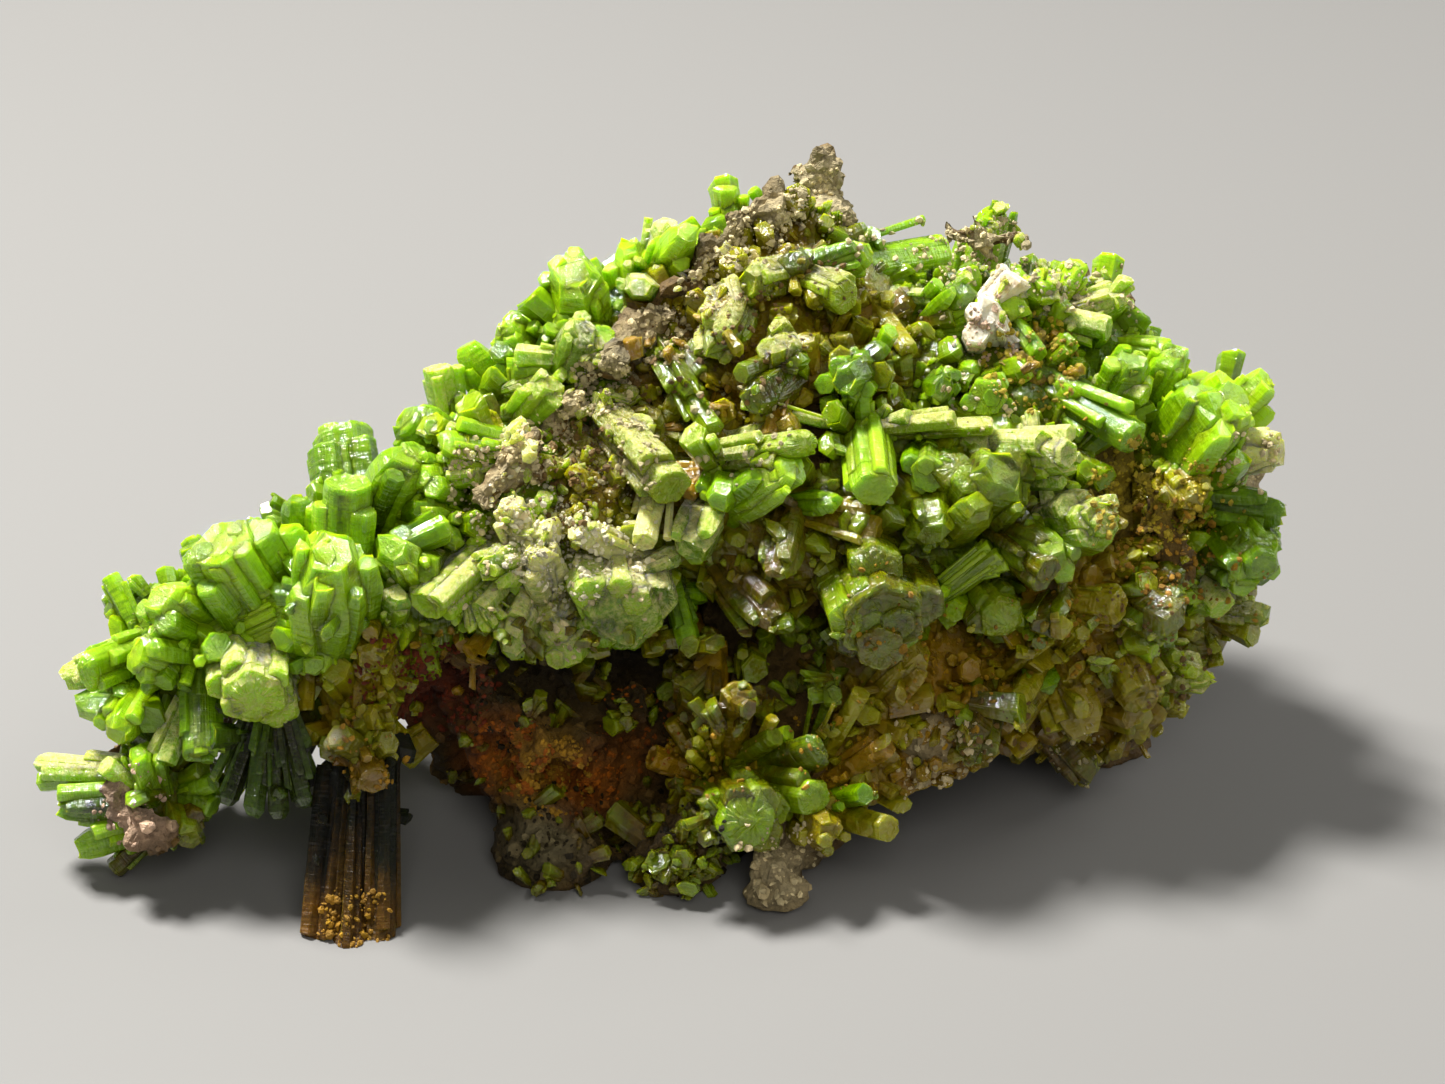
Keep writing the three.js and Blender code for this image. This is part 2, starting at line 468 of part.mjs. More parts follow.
// Crystals set round the middle of a cluster like the seeds of a sunflower, where lines towards the spine
// meet the crust.
function farCrystals(x, degrees, count, seed) {
  const angle = THREE.MathUtils.degToRad(degrees);
  const [outward, over] = [angle, angle + Math.PI / 2].map(
    (turn) => new THREE.Vector3(0, Math.cos(turn), Math.sin(turn)),
  );
  return Array.from({ length: count }, (_, i) => {
    const own = seed + i * 17;
    const [reach, turn] = [FAR_SPACING * Math.sqrt(i + 0.3), i * 2.4];
    const from = spineAt(x)
      .addScaledVector(outward, SEARCH_RADIUS)
      .addScaledVector(ACROSS, reach * Math.cos(turn))
      .addScaledVector(over, reach * Math.sin(turn));
    const hit = meetsCrust(from, outward.clone().negate());
    if (!hit || hit.point.z < LOWEST_ROOT) return null;
    const lean = new THREE.Vector3(spread(own, 0.4), spread(own + 1, 0.4), spread(own + 2, 0.4));
    const axis = hit.face.normal.clone().add(lean).normalize();
    const width = THREE.MathUtils.lerp(...FAR_WIDTHS, chance(own + 4));
    const length = width * (1.1 + 0.6 * chance(own + 5));
    const middle = hit.point.addScaledVector(axis, length * 0.3);
    const form = chance(own + 3) < 0.5 ? "chunk" : "prism";
    return rooted({ form, middle, axis, length, width, seed: own });
  }).filter(Boolean);
}

// ---- Crusts ----
const UNCRUSTED = ["quartz_knob", "hanging_fan", "olive_cluster", "standing_crystal"]; // on bare rock
const BARE_ROCK = [ // rock that shows between the crusts, [across, up] on the show grid
  [40.8, 43.6], [38.0, 42.4], [35.6, 40.4], [32.8, 37.8], [30.0, 35.2], [27.6, 32.6], [26.0, 30.4], // ridge
  [36.4, 22.0], [40.4, 21.4], [47.4, 15.6], // hollow and lower front
  [55.6, 30.8], [57.6, 29.0], [58.0, 27.0], // brown patch on the right
  [24.0, 20.0], [28.0, 19.0], [32.0, 19.0], // rusty ledge
];

// Gives each cell near a root to the cluster whose root is nearest.
function ownersOfCells(clusters) {
  const bare = BARE_ROCK.map(([u, v]) => ({ root: seatPoint(u, v), width: 0 }));
  const crusted = clusters.filter(([name]) => !UNCRUSTED.includes(name));
  return ALL_CELLS.map((cell) => {
    let [nearest, owner] = [CRUST_REACH, null];
    for (const [name, crystals] of [...crusted, [null, bare]]) {
      for (const { root, width } of crystals) {
        const gap = CELL_CENTRES[cell].distanceTo(root) - CRUST_HEIGHT / 2 - width / 6;
        if (gap < nearest) [nearest, owner] = [gap, name];
      }
    }
    return owner;
  });
}

// Where two cells of a patch meet only at a corner, it gets a free cell between them or gives one up, so that
// its edge is sound.
function mendCorners(owners) {
  for (const cell of ALL_CELLS) {
    const [station, side] = [Math.floor(cell / RING_SIDES), cell % RING_SIDES];
    if (station === STATIONS - 2) continue;
    const square = cellCorners(cell); // a cell's number is that of its first corner
    for (const [a, b, c, d] of [square, [...square.slice(1), square[0]]]) {
      const owner = owners[a];
      if (!owner || owners[c] !== owner || owners[b] === owner || owners[d] === owner) continue;
      const free = [b, d].find((other) => !owners[other]);
      owners[free ?? c] = free === undefined ? null : owner;
    }
  }
}

function crustSolid(cells, grow = 0) {
  const corners = [...new Set(cells.flatMap(cellCorners))];
  const placeOf = new Map(corners.map((corner, i) => [corner, i]));
  const points = [CRUST_HEIGHT + grow, SEAT_GAP + SEAT_SLACK - grow].flatMap((height) =>
    corners.map((corner) => {
      const around = cells.filter((cell) => cellCorners(cell).includes(corner));
      const inward = middleOf(around.map((cell) => CELL_CENTRES[cell])).sub(RING_CORNERS[corner]).normalize();
      const inset = around.length < 4 ? SEAT_GAP / 2 - grow / 2 : 0;
      return RING_CORNERS[corner].clone()
        .addScaledVector(inward, inset)
        .addScaledVector(skinNormal(corner), height);
    }),
  );
  const faces = [];
  const edges = new Map();
  for (const cell of cells) {
    const top = cellCorners(cell).map((corner) => placeOf.get(corner));
    const [a, b, c, d] = top;
    const [e, f, g, h] = top.map((place) => place + corners.length);
    faces.push(a, b, c, a, c, d, e, g, f, e, h, g);
    top.forEach((from, i) => edges.set(`${from},${top[(i + 1) % 4]}`, [from, top[(i + 1) % 4]]));
  }
  for (const [from, to] of edges.values()) {
    if (edges.has(`${to},${from}`)) continue;
    faces.push(from, from + corners.length, to, to, from + corners.length, to + corners.length);
  }
  return solidOf(new THREE.BufferGeometry().setFromPoints(points).setIndex(faces));
}

// ---- Assembly ----
function geometryOf(solid) {
  const { vertProperties, triVerts } = solid.getMesh();
  return new THREE.BufferGeometry()
    .setAttribute("position", new THREE.BufferAttribute(new Float32Array(vertProperties), 3))
    .setIndex(new THREE.BufferAttribute(new Uint32Array(triVerts), 1));
}

// The one body that a node keeps, with corners closer than a micron merged.
function bodyOf(solid) {
  const bodies = solidOf(geometryOf(solid), 1e-3).decompose();
  return bodies.reduce((best, body) => (body.volume() > best.volume() ? body : best));
}

function meshOf(name, solid, color, roughness) {
  const geometry = geometryOf(bodyOf(solid)).translate(-FOOTPRINT_CENTRE[0], -FOOTPRINT_CENTRE[1], 0);
  geometry.computeVertexNormals();
  const mesh = new THREE.Mesh(geometry, new THREE.MeshStandardMaterial({ color, roughness, metalness: 0 }));
  mesh.name = name;
  return mesh;
}

const ROCK_COLOUR = 0x5a4022;
const GREEN = 0x7fb21e;
const OTHER_COLOURS = {
  standing_crystal: 0x7a6a1c,
  hanging_fan: 0x4f5c1a,
  quartz_knob: 0xdccbb4,
  olive_cluster: 0x8a8420,
};
const table = solidOf(
  new THREE.BoxGeometry(TABLE_SIZE, TABLE_SIZE, TABLE_SIZE).translate(0, 0, -TABLE_SIZE / 2),
);
const specimen = new THREE.Group();
specimen.add(meshOf("limonite_rock", rockSolid().subtract(table), ROCK_COLOUR, 0.95));

const clusters = [
  ...Object.entries(SHOW_CRUSTS).map(([name, rows], index) => [
    name,
    rows.flatMap((row, i) => showCrystals(row, index * 101 + i * 7 + 1)),
  ]),
  ...FAR_CRUSTS.map(([name, ...place], index) => [name, farCrystals(...place, 5000 + index * 977)]),
];
const owners = ownersOfCells(clusters);
mendCorners(owners);
let occupied = joined([rockSolid(), rockSolid(SEAT_GAP), table]);
for (const [name, crystals] of clusters) {
  const cells = ALL_CELLS.filter((cell) => owners[cell] === name);
  const seated = crystals.map((crystal) => leaned(crystal, cells, owners, name));
  const grown = (grow) => {
    const crusts = cells.length ? [...new Set([0, grow])].map((height) => crustSolid(cells, height)) : [];
    return joined([...crusts, ...seated.map((crystal) => crystalSolid(crystal, grow))]);
  };
  const cluster = grown(0).subtract(occupied);
  specimen.add(meshOf(name, cluster, OTHER_COLOURS[name] ?? GREEN, 0.35));
  occupied = occupied.add(grown(SEAT_GAP));
}

export default specimen;
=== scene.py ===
import json
import math

import bmesh
import bpy
import numpy as np
from bpy.props import FloatProperty, FloatVectorProperty, IntProperty, PointerProperty
from mathutils import Matrix, Vector, noise
from mathutils.bvhtree import BVHTree

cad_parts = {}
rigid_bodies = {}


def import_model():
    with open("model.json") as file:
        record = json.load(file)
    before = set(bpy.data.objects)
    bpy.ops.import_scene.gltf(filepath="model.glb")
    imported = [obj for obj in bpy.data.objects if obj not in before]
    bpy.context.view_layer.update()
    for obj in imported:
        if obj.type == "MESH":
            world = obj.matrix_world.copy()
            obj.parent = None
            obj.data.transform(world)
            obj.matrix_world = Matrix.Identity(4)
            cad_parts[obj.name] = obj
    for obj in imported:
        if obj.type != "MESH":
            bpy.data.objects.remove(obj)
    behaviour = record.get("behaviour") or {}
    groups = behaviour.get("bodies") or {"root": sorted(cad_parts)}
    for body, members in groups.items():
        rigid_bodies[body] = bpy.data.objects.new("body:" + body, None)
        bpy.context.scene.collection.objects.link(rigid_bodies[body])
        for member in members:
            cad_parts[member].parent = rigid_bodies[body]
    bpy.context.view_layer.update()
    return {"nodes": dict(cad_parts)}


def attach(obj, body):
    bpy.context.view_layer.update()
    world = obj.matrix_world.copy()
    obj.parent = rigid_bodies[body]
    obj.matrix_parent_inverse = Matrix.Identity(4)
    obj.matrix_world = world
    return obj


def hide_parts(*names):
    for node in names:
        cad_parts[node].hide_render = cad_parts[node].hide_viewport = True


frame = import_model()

bl_info = {
    "name": "Pyromorphite cluster",
    "version": (1, 0, 0),
    "blender": (4, 5, 0),
    "location": "View3D > Sidebar > Mineral",
    "description": "Dresses a pyromorphite specimen: green crystal crusts on a limonite ridge",
    "category": "Object",
}

# ---- Sizes, in millimetres unless a name says otherwise ----
# The show grid is a sheet square to the line of sight, ruled in millimetres, that fills the camera's frame.
MM = 0.001  # metres in a millimetre
SHOW_TILT = math.radians(28)  # the show face is looked at from this far above the table
EYE_DISTANCE = 150.0
SENSOR_WIDTH = 36.0
GRID_WIDTH = 72.25
GRID_CENTRE = (36.1, 27.1)
GRID_HEIGHT = 14.8  # of the grid's centre above the table
FOOTPRINT_CENTRE = np.array([-2.2, 4.1, 0.0])  # where the part's frame starts in the show frame
SEAT_GAP = 0.32  # between a crust and the rock
CRUST_THICKNESS = 1.5
CRUST_HEIGHT = 1.88  # of the crust's face above the rock's skin
CRUST_REACH = 2.3  # a cell of the skin this near to a root has a crust
ROOT_DEPTH = 0.9  # of a crystal's root below the crust's face
ROOT_REACH = 2.4  # a crystal is run back by at most this much more than its length
CELL_REACH = 1.5  # a root this far from the nearest cell's middle stands outside it
STATIONS = 19  # rings of corners along the spine
RING_SIDES = 15  # corners of each ring
END_CROWDING = 0.2  # how far the rings crowd towards the spine's ends, from 0 to 1
RELIEF = 0.45  # height of the ledges and pits
FULL_RELIEF = 2.0  # the relief is full this far from the spine
SEARCH_RADIUS = 30.0  # the skin is looked for from this far out
SEARCH_STEP = 0.25
THINNEST_ROCK = 0.3  # least distance of the skin from the spine
SIGHT_DEPTHS = np.arange(160) * 0.25 - 14  # tried along a line of sight that misses the crust
JUST_PAST = 1e-4  # step beyond a face that a line has met
CHANCE_WAVE = (127.1, 311.7, 43758.5453)  # step, start and height of a wave too steep to look regular
GOLDEN_TURN = 2.4  # radians from one crystal to the next when they are set like the seeds of a sunflower

ACROSS = np.array([1.0, 0.0, 0.0])
UP = np.array([0.0, math.sin(SHOW_TILT), math.cos(SHOW_TILT)])
INTO = np.array([0.0, math.cos(SHOW_TILT), -math.sin(SHOW_TILT)])
SHOW_AXES = np.array([ACROSS, UP, INTO])
EYE = np.array([0.0, 0.0, GRID_HEIGHT]) - EYE_DISTANCE * INTO

# Each mass is [across, up, into, half width, half height, half depth].
ROCK_MASSES = np.array([
    [50.2, 28.2, 7, 9.8, 9.0, 7.8], [40.5, 29.6, 4, 9.0, 8.4, 6.4], [39.6, 40.0, 5.5, 4.4, 4.4, 3.4],
    [35.0, 38.0, 4.6, 4.0, 3.8, 3.4], [30.6, 34.0, 3.0, 4.4, 3.8, 3.6], [49.4, 36.6, 8, 7.6, 4.4, 5.2],
    [27.0, 28.0, 2, 7.0, 4.6, 4.8], [19.0, 25.0, 1, 7.2, 3.2, 3.8], [10.4, 21.4, 1, 4.0, 3.4, 3.4],
    [7.0, 14.6, 1, 2.6, 1.8, 2.4], [9.0, 17.4, 1.4, 2.2, 2.4, 2.2], [41.0, 17.2, 2, 7.2, 4.4, 4.4],
    [28.4, 17.0, 4, 7.6, 3.0, 5.0], [25.6, 14.2, 4.6, 4.4, 3.0, 4.0], [32.6, 12.4, 3.4, 4.2, 4.0, 4.2],
    [53.2, 20.8, 9, 6.2, 4.2, 5.6], [60.2, 30.2, 8, 2.8, 5.2, 5.0], [17.6, 16.4, -1.6, 2.2, 4.4, 2.2],
    [24.0, 22.6, 3, 5.0, 3.4, 3.8], [38.0, 23.0, 12.0, 11.4, 7.0, 6.2],
])
HOLLOW = np.array([[34.6, 20.8, -3.4, 5.4, 2.6, 5.6]])  # a mass that is taken away
# The spine that the skin is wrapped round: [across, up, into].
SPINE_GRID = [
    (4.6, 14.8, 1), (7.4, 15.6, 1), (9.6, 18.6, 1), (13, 22.6, 1), (19, 25, 1),
    (27, 28, 2.2), (41, 29.5, 6), (50.5, 28.2, 7.5), (60.6, 30.2, 8), (63.4, 30.2, 8),
]

# What a crystal looks like: how light its green is, how much frost and painted highlight it has, and how
# golden brown.
LOOKS = {
    "green": (0.46, 0.02, 0.12),
    "bright": (0.68, 0.05, 0.0),
    "lime": (0.92, 0.12, 0.0),
    "deep": (0.21, 0.0, 0.38),
    "dark": (0.08, 0.0, 0.45),
    "rusted": (0.06, 0.0, 0.1),  # dark partly as painted shade under the overhang, and golden at its free end
    "frosted": (0.64, 0.5, 0.06),
    "pale": (0.9, 0.52, 0.1),
    "cream": (1.0, 0.9, 0.15),
    "dusty": (0.52, 0.42, 0.42),
    "amber": (0.35, 0.0, 0.95),
    "gold": (0.5, 0.03, 0.66),
}

# Crystals of the show face: [form, across, up, length, width, turn, rise, look], with the place of its middle
# on the show grid and the way its free end points. The number before a crust's rows says how many of them are
# in its CAD solid. The rows after those are smaller ones that grow between them.
# Some crystals whose faces catch the light are given a frosted or pale look, so their pale frost is partly a
# painted highlight.
CRYSTALS = {
    "left_lobe_cluster": (7, [
        ("plate", 4.4, 15.9, 4.4, 1.8, 172, 10, "pale"), ("prism", 3.1, 15.3, 2.0, 1.3, 185, 0, "bright"),
        ("chunk", 3.9, 14.4, 2.6, 2.2, 200, 40, "green"), ("chunk", 4.9, 12.9, 2.6, 2.0, 235, 30, "green"),
        ("prism", 5.8, 11.8, 2.0, 1.2, 268, 10, "deep"), ("chunk", 7.5, 15.9, 2.4, 2.0, 100, 50, "bright"),
        ("chunk", 9.4, 13.3, 2.6, 2.2, 300, 50, "dark"),
        ("prism", 9.9, 14.3, 2.2, 1.4, 340, 20, "green"), ("prism", 6.2, 15.4, 2.2, 1.2, 140, 30, "pale"),
        ("prism", 10.0, 14.9, 2.0, 1.2, 20, 30, "green"),
    ]),
    "left_cluster": (18, [
        ("prism", 6.0, 24.1, 2.8, 1.2, 104, 10, "bright"), ("plate", 6.2, 22.4, 4.8, 2.4, 228, 20, "bright"),
        ("chunk", 4.4, 20.6, 2.2, 1.8, 200, 30, "pale"), ("chunk", 5.0, 19.4, 2.4, 2.0, 215, 50, "bright"),
        ("chunk", 6.6, 18.4, 3.0, 2.4, 250, 50, "bright"), ("prism", 8.4, 18.5, 4.8, 1.3, 273, 15, "frosted"),
        ("prism", 10.2, 18.5, 4.8, 2.1, 275, 20, "green"), ("chunk", 9.4, 23.8, 3.4, 2.8, 140, 50, "bright"),
        ("prism", 11.8, 25.8, 4.6, 4.2, 100, 50, "bright"), ("chunk", 16.8, 25.3, 4.8, 4.4, 80, 50, "bright"),
        ("bundle", 13.4, 23.3, 3.8, 2.0, 25, 15, "lime"), ("prism", 12.9, 20.2, 3.6, 3.9, 285, 60, "pale"),
        ("chunk", 18.8, 21.7, 2.6, 2.4, 270, 60, "gold"), ("prism", 17.5, 28.0, 5.0, 3.0, 84, 20, "bright"),
        ("chunk", 19.8, 29.8, 4.6, 3.0, 60, 30, "green"), ("chunk", 21.4, 28.3, 2.4, 1.8, 10, 50, "bright"),
        ("prism", 22.0, 24.6, 2.8, 2.4, 225, 35, "pale"), ("chunk", 20.2, 26.2, 3.0, 2.6, 120, 60, "bright"),
        ("chunk", 15.0, 28.3, 2.0, 1.8, 90, 30, "bright"), ("chunk", 19.8, 24.1, 2.0, 1.8, 60, 60, "frosted"),
        ("chunk", 7.8, 21.7, 2.8, 2.4, 180, 60, "bright"), ("chunk", 16.0, 21.8, 3.0, 2.4, 300, 60, "green"),
        ("prism", 10.2, 21.6, 3.0, 1.8, 20, 40, "bright"), ("prism", 15.4, 19.6, 1.8, 0.9, 268, 10, "gold"),
        ("prism", 19.8, 28.5, 2.0, 1.0, 100, 40, "pale"), ("spray", 24.0, 23.9, 2.6, 1.6, 300, 20, "pale"),
        ("prism", 8.7, 20.9, 2.2, 1.3, 250, 40, "green"), ("chunk", 14.8, 26.9, 2.2, 1.8, 110, 40, "lime"),
    ]),
    # Many of these crystals have the lime look, lighter than their own green: painted light, where light from
    # behind makes them glow.
    "back_slope_cluster": (12, [
        ("prism", 22.2, 34.4, 3.0, 1.7, 98, 20, "pale"), ("prism", 24.2, 34.5, 2.8, 1.2, 5, 20, "lime"),
        ("chunk", 23.6, 31.8, 3.2, 2.0, 170, 30, "lime"), ("chunk", 20.8, 32.0, 3.6, 3.0, 110, 40, "bright"),
        ("chunk", 29.2, 39.0, 4.2, 3.4, 110, 40, "lime"), ("chunk", 26.0, 37.0, 2.8, 2.2, 120, 30, "bright"),
        ("chunk", 28.8, 36.8, 3.2, 2.4, 60, 50, "frosted"), ("chunk", 31.6, 40.8, 3.0, 2.4, 100, 30, "lime"),
        ("chunk", 33.8, 42.0, 2.4, 1.9, 110, 30, "pale"), ("prism", 36.4, 43.5, 2.6, 1.7, 95, 20, "lime"),
        ("chunk", 27.2, 34.4, 2.8, 2.2, 40, 50, "frosted"),
        ("chunk", 32.4, 39.0, 2.4, 1.9, 120, 50, "frosted"),
        ("prism", 26.2, 34.8, 2.0, 1.2, 15, 30, "frosted"), ("prism", 24.0, 33.3, 2.0, 1.6, 350, 40, "gold"),
        ("spray", 24.0, 31.6, 3.8, 1.8, 178, 10, "pale"), ("chunk", 22.0, 30.7, 2.6, 2.4, 200, 50, "bright"),
        ("prism", 30.2, 38.1, 2.6, 1.8, 280, 50, "lime"), ("chunk", 23.9, 36.0, 2.0, 1.8, 120, 20, "lime"),
        ("chunk", 27.5, 38.2, 2.6, 2.2, 130, 30, "lime"), ("chunk", 25.4, 32.4, 2.4, 2.0, 330, 50, "pale"),
        ("chunk", 34.5, 41.5, 2.4, 2.0, 100, 40, "lime"), ("prism", 37.8, 43.9, 1.7, 0.8, 104, 10, "lime"),
        ("prism", 25.4, 35.6, 1.8, 1.0, 60, 30, "lime"), ("chunk", 30.4, 36.6, 2.2, 1.6, 150, 50, "pale"),
    ]),
    "pale_crust_cluster": (10, [
        ("prism", 32.5, 30.9, 4.6, 2.7, 312, 40, "dusty"),
        ("prism", 31.0, 24.4, 3.4, 4.6, 285, 55, "frosted"),
        ("prism", 34.1, 23.4, 3.8, 1.4, 285, 15, "green"), ("chunk", 28.5, 22.4, 3.6, 3.0, 250, 50, "pale"),
        ("chunk", 27.0, 26.0, 3.2, 2.2, 100, 60, "cream"), ("prism", 26.0, 28.0, 2.6, 1.4, 110, 30, "cream"),
        ("prism", 32.0, 28.2, 2.6, 1.5, 280, 30, "cream"), ("chunk", 25.2, 26.2, 2.6, 2.2, 200, 50, "pale"),
        ("chunk", 26.0, 22.9, 2.6, 2.2, 250, 40, "pale"), ("chunk", 29.6, 27.2, 2.4, 1.8, 150, 40, "cream"),
        ("prism", 32.6, 22.4, 2.0, 1.2, 280, 20, "gold"), ("prism", 27.4, 28.4, 2.0, 0.9, 90, 20, "pale"),
        ("spray", 26.0, 27.6, 2.4, 1.5, 120, 30, "cream"), ("spray", 30.0, 27.7, 2.6, 1.8, 175, 20, "gold"),
        ("spray", 28.4, 25.2, 2.2, 1.6, 80, 40, "cream"), ("prism", 24.6, 24.4, 2.0, 1.2, 230, 30, "pale"),
    ]),
    "middle_cluster": (17, [
        ("plate", 36.8, 32.2, 6.4, 3.4, 355, 15, "dusty"), ("chunk", 38.8, 29.5, 3.8, 2.6, 60, 40, "bright"),
        ("chunk", 34.8, 27.6, 3.2, 2.6, 250, 50, "frosted"), ("prism", 43.1, 31.8, 5.4, 2.8, 280, 28, "lime"),
        ("prism", 46.2, 31.2, 2.8, 2.4, 270, 50, "green"), ("plate", 47.2, 33.3, 4.6, 2.2, 350, 15, "dusty"),
        ("chunk", 49.2, 29.8, 4.6, 4.2, 60, 60, "deep"), ("chunk", 52.2, 30.6, 3.6, 3.0, 30, 60, "frosted"),
        ("bundle", 48.7, 25.6, 3.4, 1.7, 38, 25, "lime"), ("prism", 49.7, 23.8, 2.6, 2.6, 300, 60, "deep"),
        ("prism", 43.4, 24.9, 5.6, 5.2, 285, 48, "deep"), ("plate", 42.2, 27.6, 3.6, 1.8, 8, 20, "gold"),
        ("chunk", 45.2, 22.1, 3.2, 2.2, 0, 60, "gold"), ("chunk", 38.4, 24.4, 3.6, 2.4, 290, 30, "dark"),
        ("chunk", 46.4, 28.2, 3.0, 2.6, 280, 60, "deep"), ("chunk", 54.0, 29.0, 3.8, 3.2, 330, 60, "frosted"),
        ("chunk", 52.0, 26.6, 3.6, 3.0, 300, 60, "deep"),
        ("prism", 39.4, 33.5, 1.4, 1.2, 300, 50, "gold"), ("prism", 38.0, 33.9, 2.0, 0.7, 175, 20, "pale"),
        ("chunk", 41.0, 29.1, 2.2, 1.3, 0, 50, "bright"), ("chunk", 36.2, 29.6, 2.4, 2.0, 240, 60, "green"),
        ("prism", 44.9, 32.5, 2.2, 1.0, 62, 30, "frosted"), ("prism", 43.1, 34.5, 1.6, 1.0, 95, 20, "bright"),
        ("chunk", 38.7, 26.2, 2.6, 2.2, 270, 50, "dark"), ("prism", 34.4, 30.0, 1.6, 0.9, 270, 40, "amber"),
        ("plate", 45.4, 27.8, 3.2, 1.2, 20, 30, "green"), ("prism", 44.6, 29.0, 2.0, 1.2, 260, 50, "green"),
    ]),
    "peak_cluster": (9, [
        ("chunk", 34.2, 35.0, 2.8, 2.2, 300, 40, "deep"), ("chunk", 36.2, 37.4, 3.2, 2.6, 250, 50, "dusty"),
        ("chunk", 37.4, 34.8, 3.0, 2.4, 270, 60, "deep"), ("chunk", 39.6, 37.2, 3.0, 2.6, 200, 60, "dusty"),
        ("prism", 42.3, 39.8, 2.6, 2.2, 280, 60, "dusty"), ("chunk", 41.8, 35.8, 2.8, 2.4, 280, 60, "green"),
        ("chunk", 40.0, 41.8, 2.6, 2.2, 240, 50, "deep"), ("chunk", 42.8, 42.2, 2.6, 1.8, 300, 40, "green"),
        ("plate", 45.4, 42.0, 3.8, 2.2, 348, 15, "bright"),
        ("chunk", 37.5, 40.4, 2.4, 2.2, 240, 50, "dusty"), ("prism", 35.0, 33.2, 2.2, 1.4, 320, 40, "deep"),
        ("prism", 40.6, 39.6, 1.8, 1.2, 290, 40, "gold"), ("prism", 38.6, 33.0, 1.6, 1.0, 250, 30, "amber"),
    ]),
    "shoulder_cluster": (10, [
        ("prism", 45.2, 39.3, 2.9, 1.2, 357, 20, "frosted"),
        ("chunk", 47.5, 39.9, 2.6, 2.0, 340, 50, "green"),
        ("chunk", 50.2, 39.4, 2.6, 1.9, 330, 30, "bright"), ("prism", 52.0, 39.4, 2.4, 1.6, 80, 40, "bright"),
        ("prism", 54.1, 38.0, 2.6, 1.4, 345, 20, "frosted"), ("chunk", 55.3, 38.6, 2.2, 1.6, 40, 30, "pale"),
        ("prism", 49.0, 35.4, 3.2, 2.4, 275, 40, "green"), ("chunk", 46.8, 35.6, 2.6, 2.0, 280, 50, "green"),
        ("prism", 54.4, 33.3, 5.0, 1.9, 332, 20, "bright"), ("chunk", 55.6, 36.2, 3.0, 2.4, 0, 60, "bright"),
        ("chunk", 53.2, 40.0, 2.4, 1.6, 60, 20, "lime"), ("prism", 45.1, 37.1, 1.6, 1.2, 300, 40, "gold"),
        ("prism", 51.4, 37.0, 2.0, 1.2, 300, 40, "green"), ("prism", 56.4, 34.6, 1.8, 1.2, 340, 30, "pale"),
    ]),
    "right_end_cluster": (9, [
        ("chunk", 60.0, 32.5, 5.2, 4.6, 60, 50, "bright"), ("chunk", 62.3, 34.3, 2.8, 2.2, 50, 20, "lime"),
        ("chunk", 62.6, 31.7, 3.0, 2.4, 0, 30, "cream"), ("chunk", 58.0, 35.5, 3.0, 2.4, 70, 40, "bright"),
        ("prism", 57.2, 36.7, 2.4, 1.4, 350, 30, "lime"), ("chunk", 61.2, 26.4, 4.2, 3.4, 330, 50, "green"),
        ("chunk", 62.9, 28.6, 2.8, 2.2, 350, 20, "green"),
        ("prism", 60.2, 24.7, 2.8, 1.8, 300, 40, "frosted"),
        ("chunk", 62.2, 24.3, 2.6, 2.0, 320, 20, "dusty"),
        ("chunk", 59.0, 29.6, 2.8, 2.2, 300, 60, "gold"), ("chunk", 58.6, 33.4, 2.2, 1.8, 110, 50, "bright"),
        ("prism", 61.0, 29.2, 2.0, 1.2, 20, 30, "pale"),
    ]),
    "right_face_cluster": (10, [
        ("chunk", 51.4, 23.4, 3.0, 2.2, 290, 60, "deep"), ("bundle", 52.6, 21.8, 3.6, 1.8, 60, 40, "gold"),
        ("prism", 55.2, 23.6, 2.2, 1.8, 30, 50, "gold"), ("chunk", 57.5, 23.7, 3.4, 3.0, 330, 50, "deep"),
        ("chunk", 58.8, 21.3, 3.0, 2.4, 320, 40, "dusty"), ("chunk", 56.4, 19.8, 3.4, 2.8, 300, 50, "gold"),
        ("chunk", 53.7, 18.4, 3.4, 2.6, 280, 50, "gold"), ("prism", 50.6, 19.2, 3.0, 2.2, 250, 50, "gold"),
        ("chunk", 54.0, 16.4, 2.4, 2.0, 290, 20, "dark"), ("chunk", 48.6, 17.5, 2.8, 2.2, 250, 40, "deep"),
        ("prism", 48.3, 19.1, 2.2, 1.2, 40, 40, "amber"), ("chunk", 52.0, 20.4, 2.0, 1.6, 300, 50, "green"),
        ("prism", 54.0, 22.4, 2.2, 1.2, 80, 30, "gold"), ("prism", 56.8, 21.8, 2.0, 1.2, 340, 40, "frosted"),
        ("prism", 58.6, 24.6, 1.8, 1.0, 60, 30, "pale"),
    ]),
    "rosette_cluster": (9, [
        ("prism", 37.1, 18.2, 3.6, 1.7, 97, 35, "gold"), ("plate", 39.5, 17.2, 3.2, 2.2, 350, 30, "deep"),
        ("prism", 33.8, 16.6, 2.8, 1.5, 186, 25, "amber"), ("prism", 35.2, 18.6, 3.0, 1.7, 125, 30, "gold"),
        ("prism", 34.7, 14.8, 2.8, 1.6, 215, 30, "gold"), ("prism", 37.4, 14.3, 3.4, 3.6, 270, 62, "deep"),
        ("prism", 40.0, 15.0, 2.8, 2.2, 330, 40, "deep"), ("chunk", 41.3, 13.7, 3.0, 2.4, 280, 50, "gold"),
        ("prism", 43.9, 13.7, 2.4, 1.7, 300, 40, "gold"),
        ("prism", 42.4, 18.4, 3.0, 1.1, 62, 30, "gold"), ("prism", 43.4, 16.6, 2.6, 1.4, 20, 40, "amber"),
        ("prism", 41.8, 19.6, 2.2, 0.7, 95, 20, "deep"), ("spray", 36.0, 17.0, 2.8, 2.2, 150, 30, "gold"),
        ("prism", 42.4, 15.2, 2.6, 1.3, 320, 40, "green"), ("prism", 36.2, 16.0, 2.0, 1.1, 240, 50, "green"),
    ]),
    "olive_cluster": (3, [
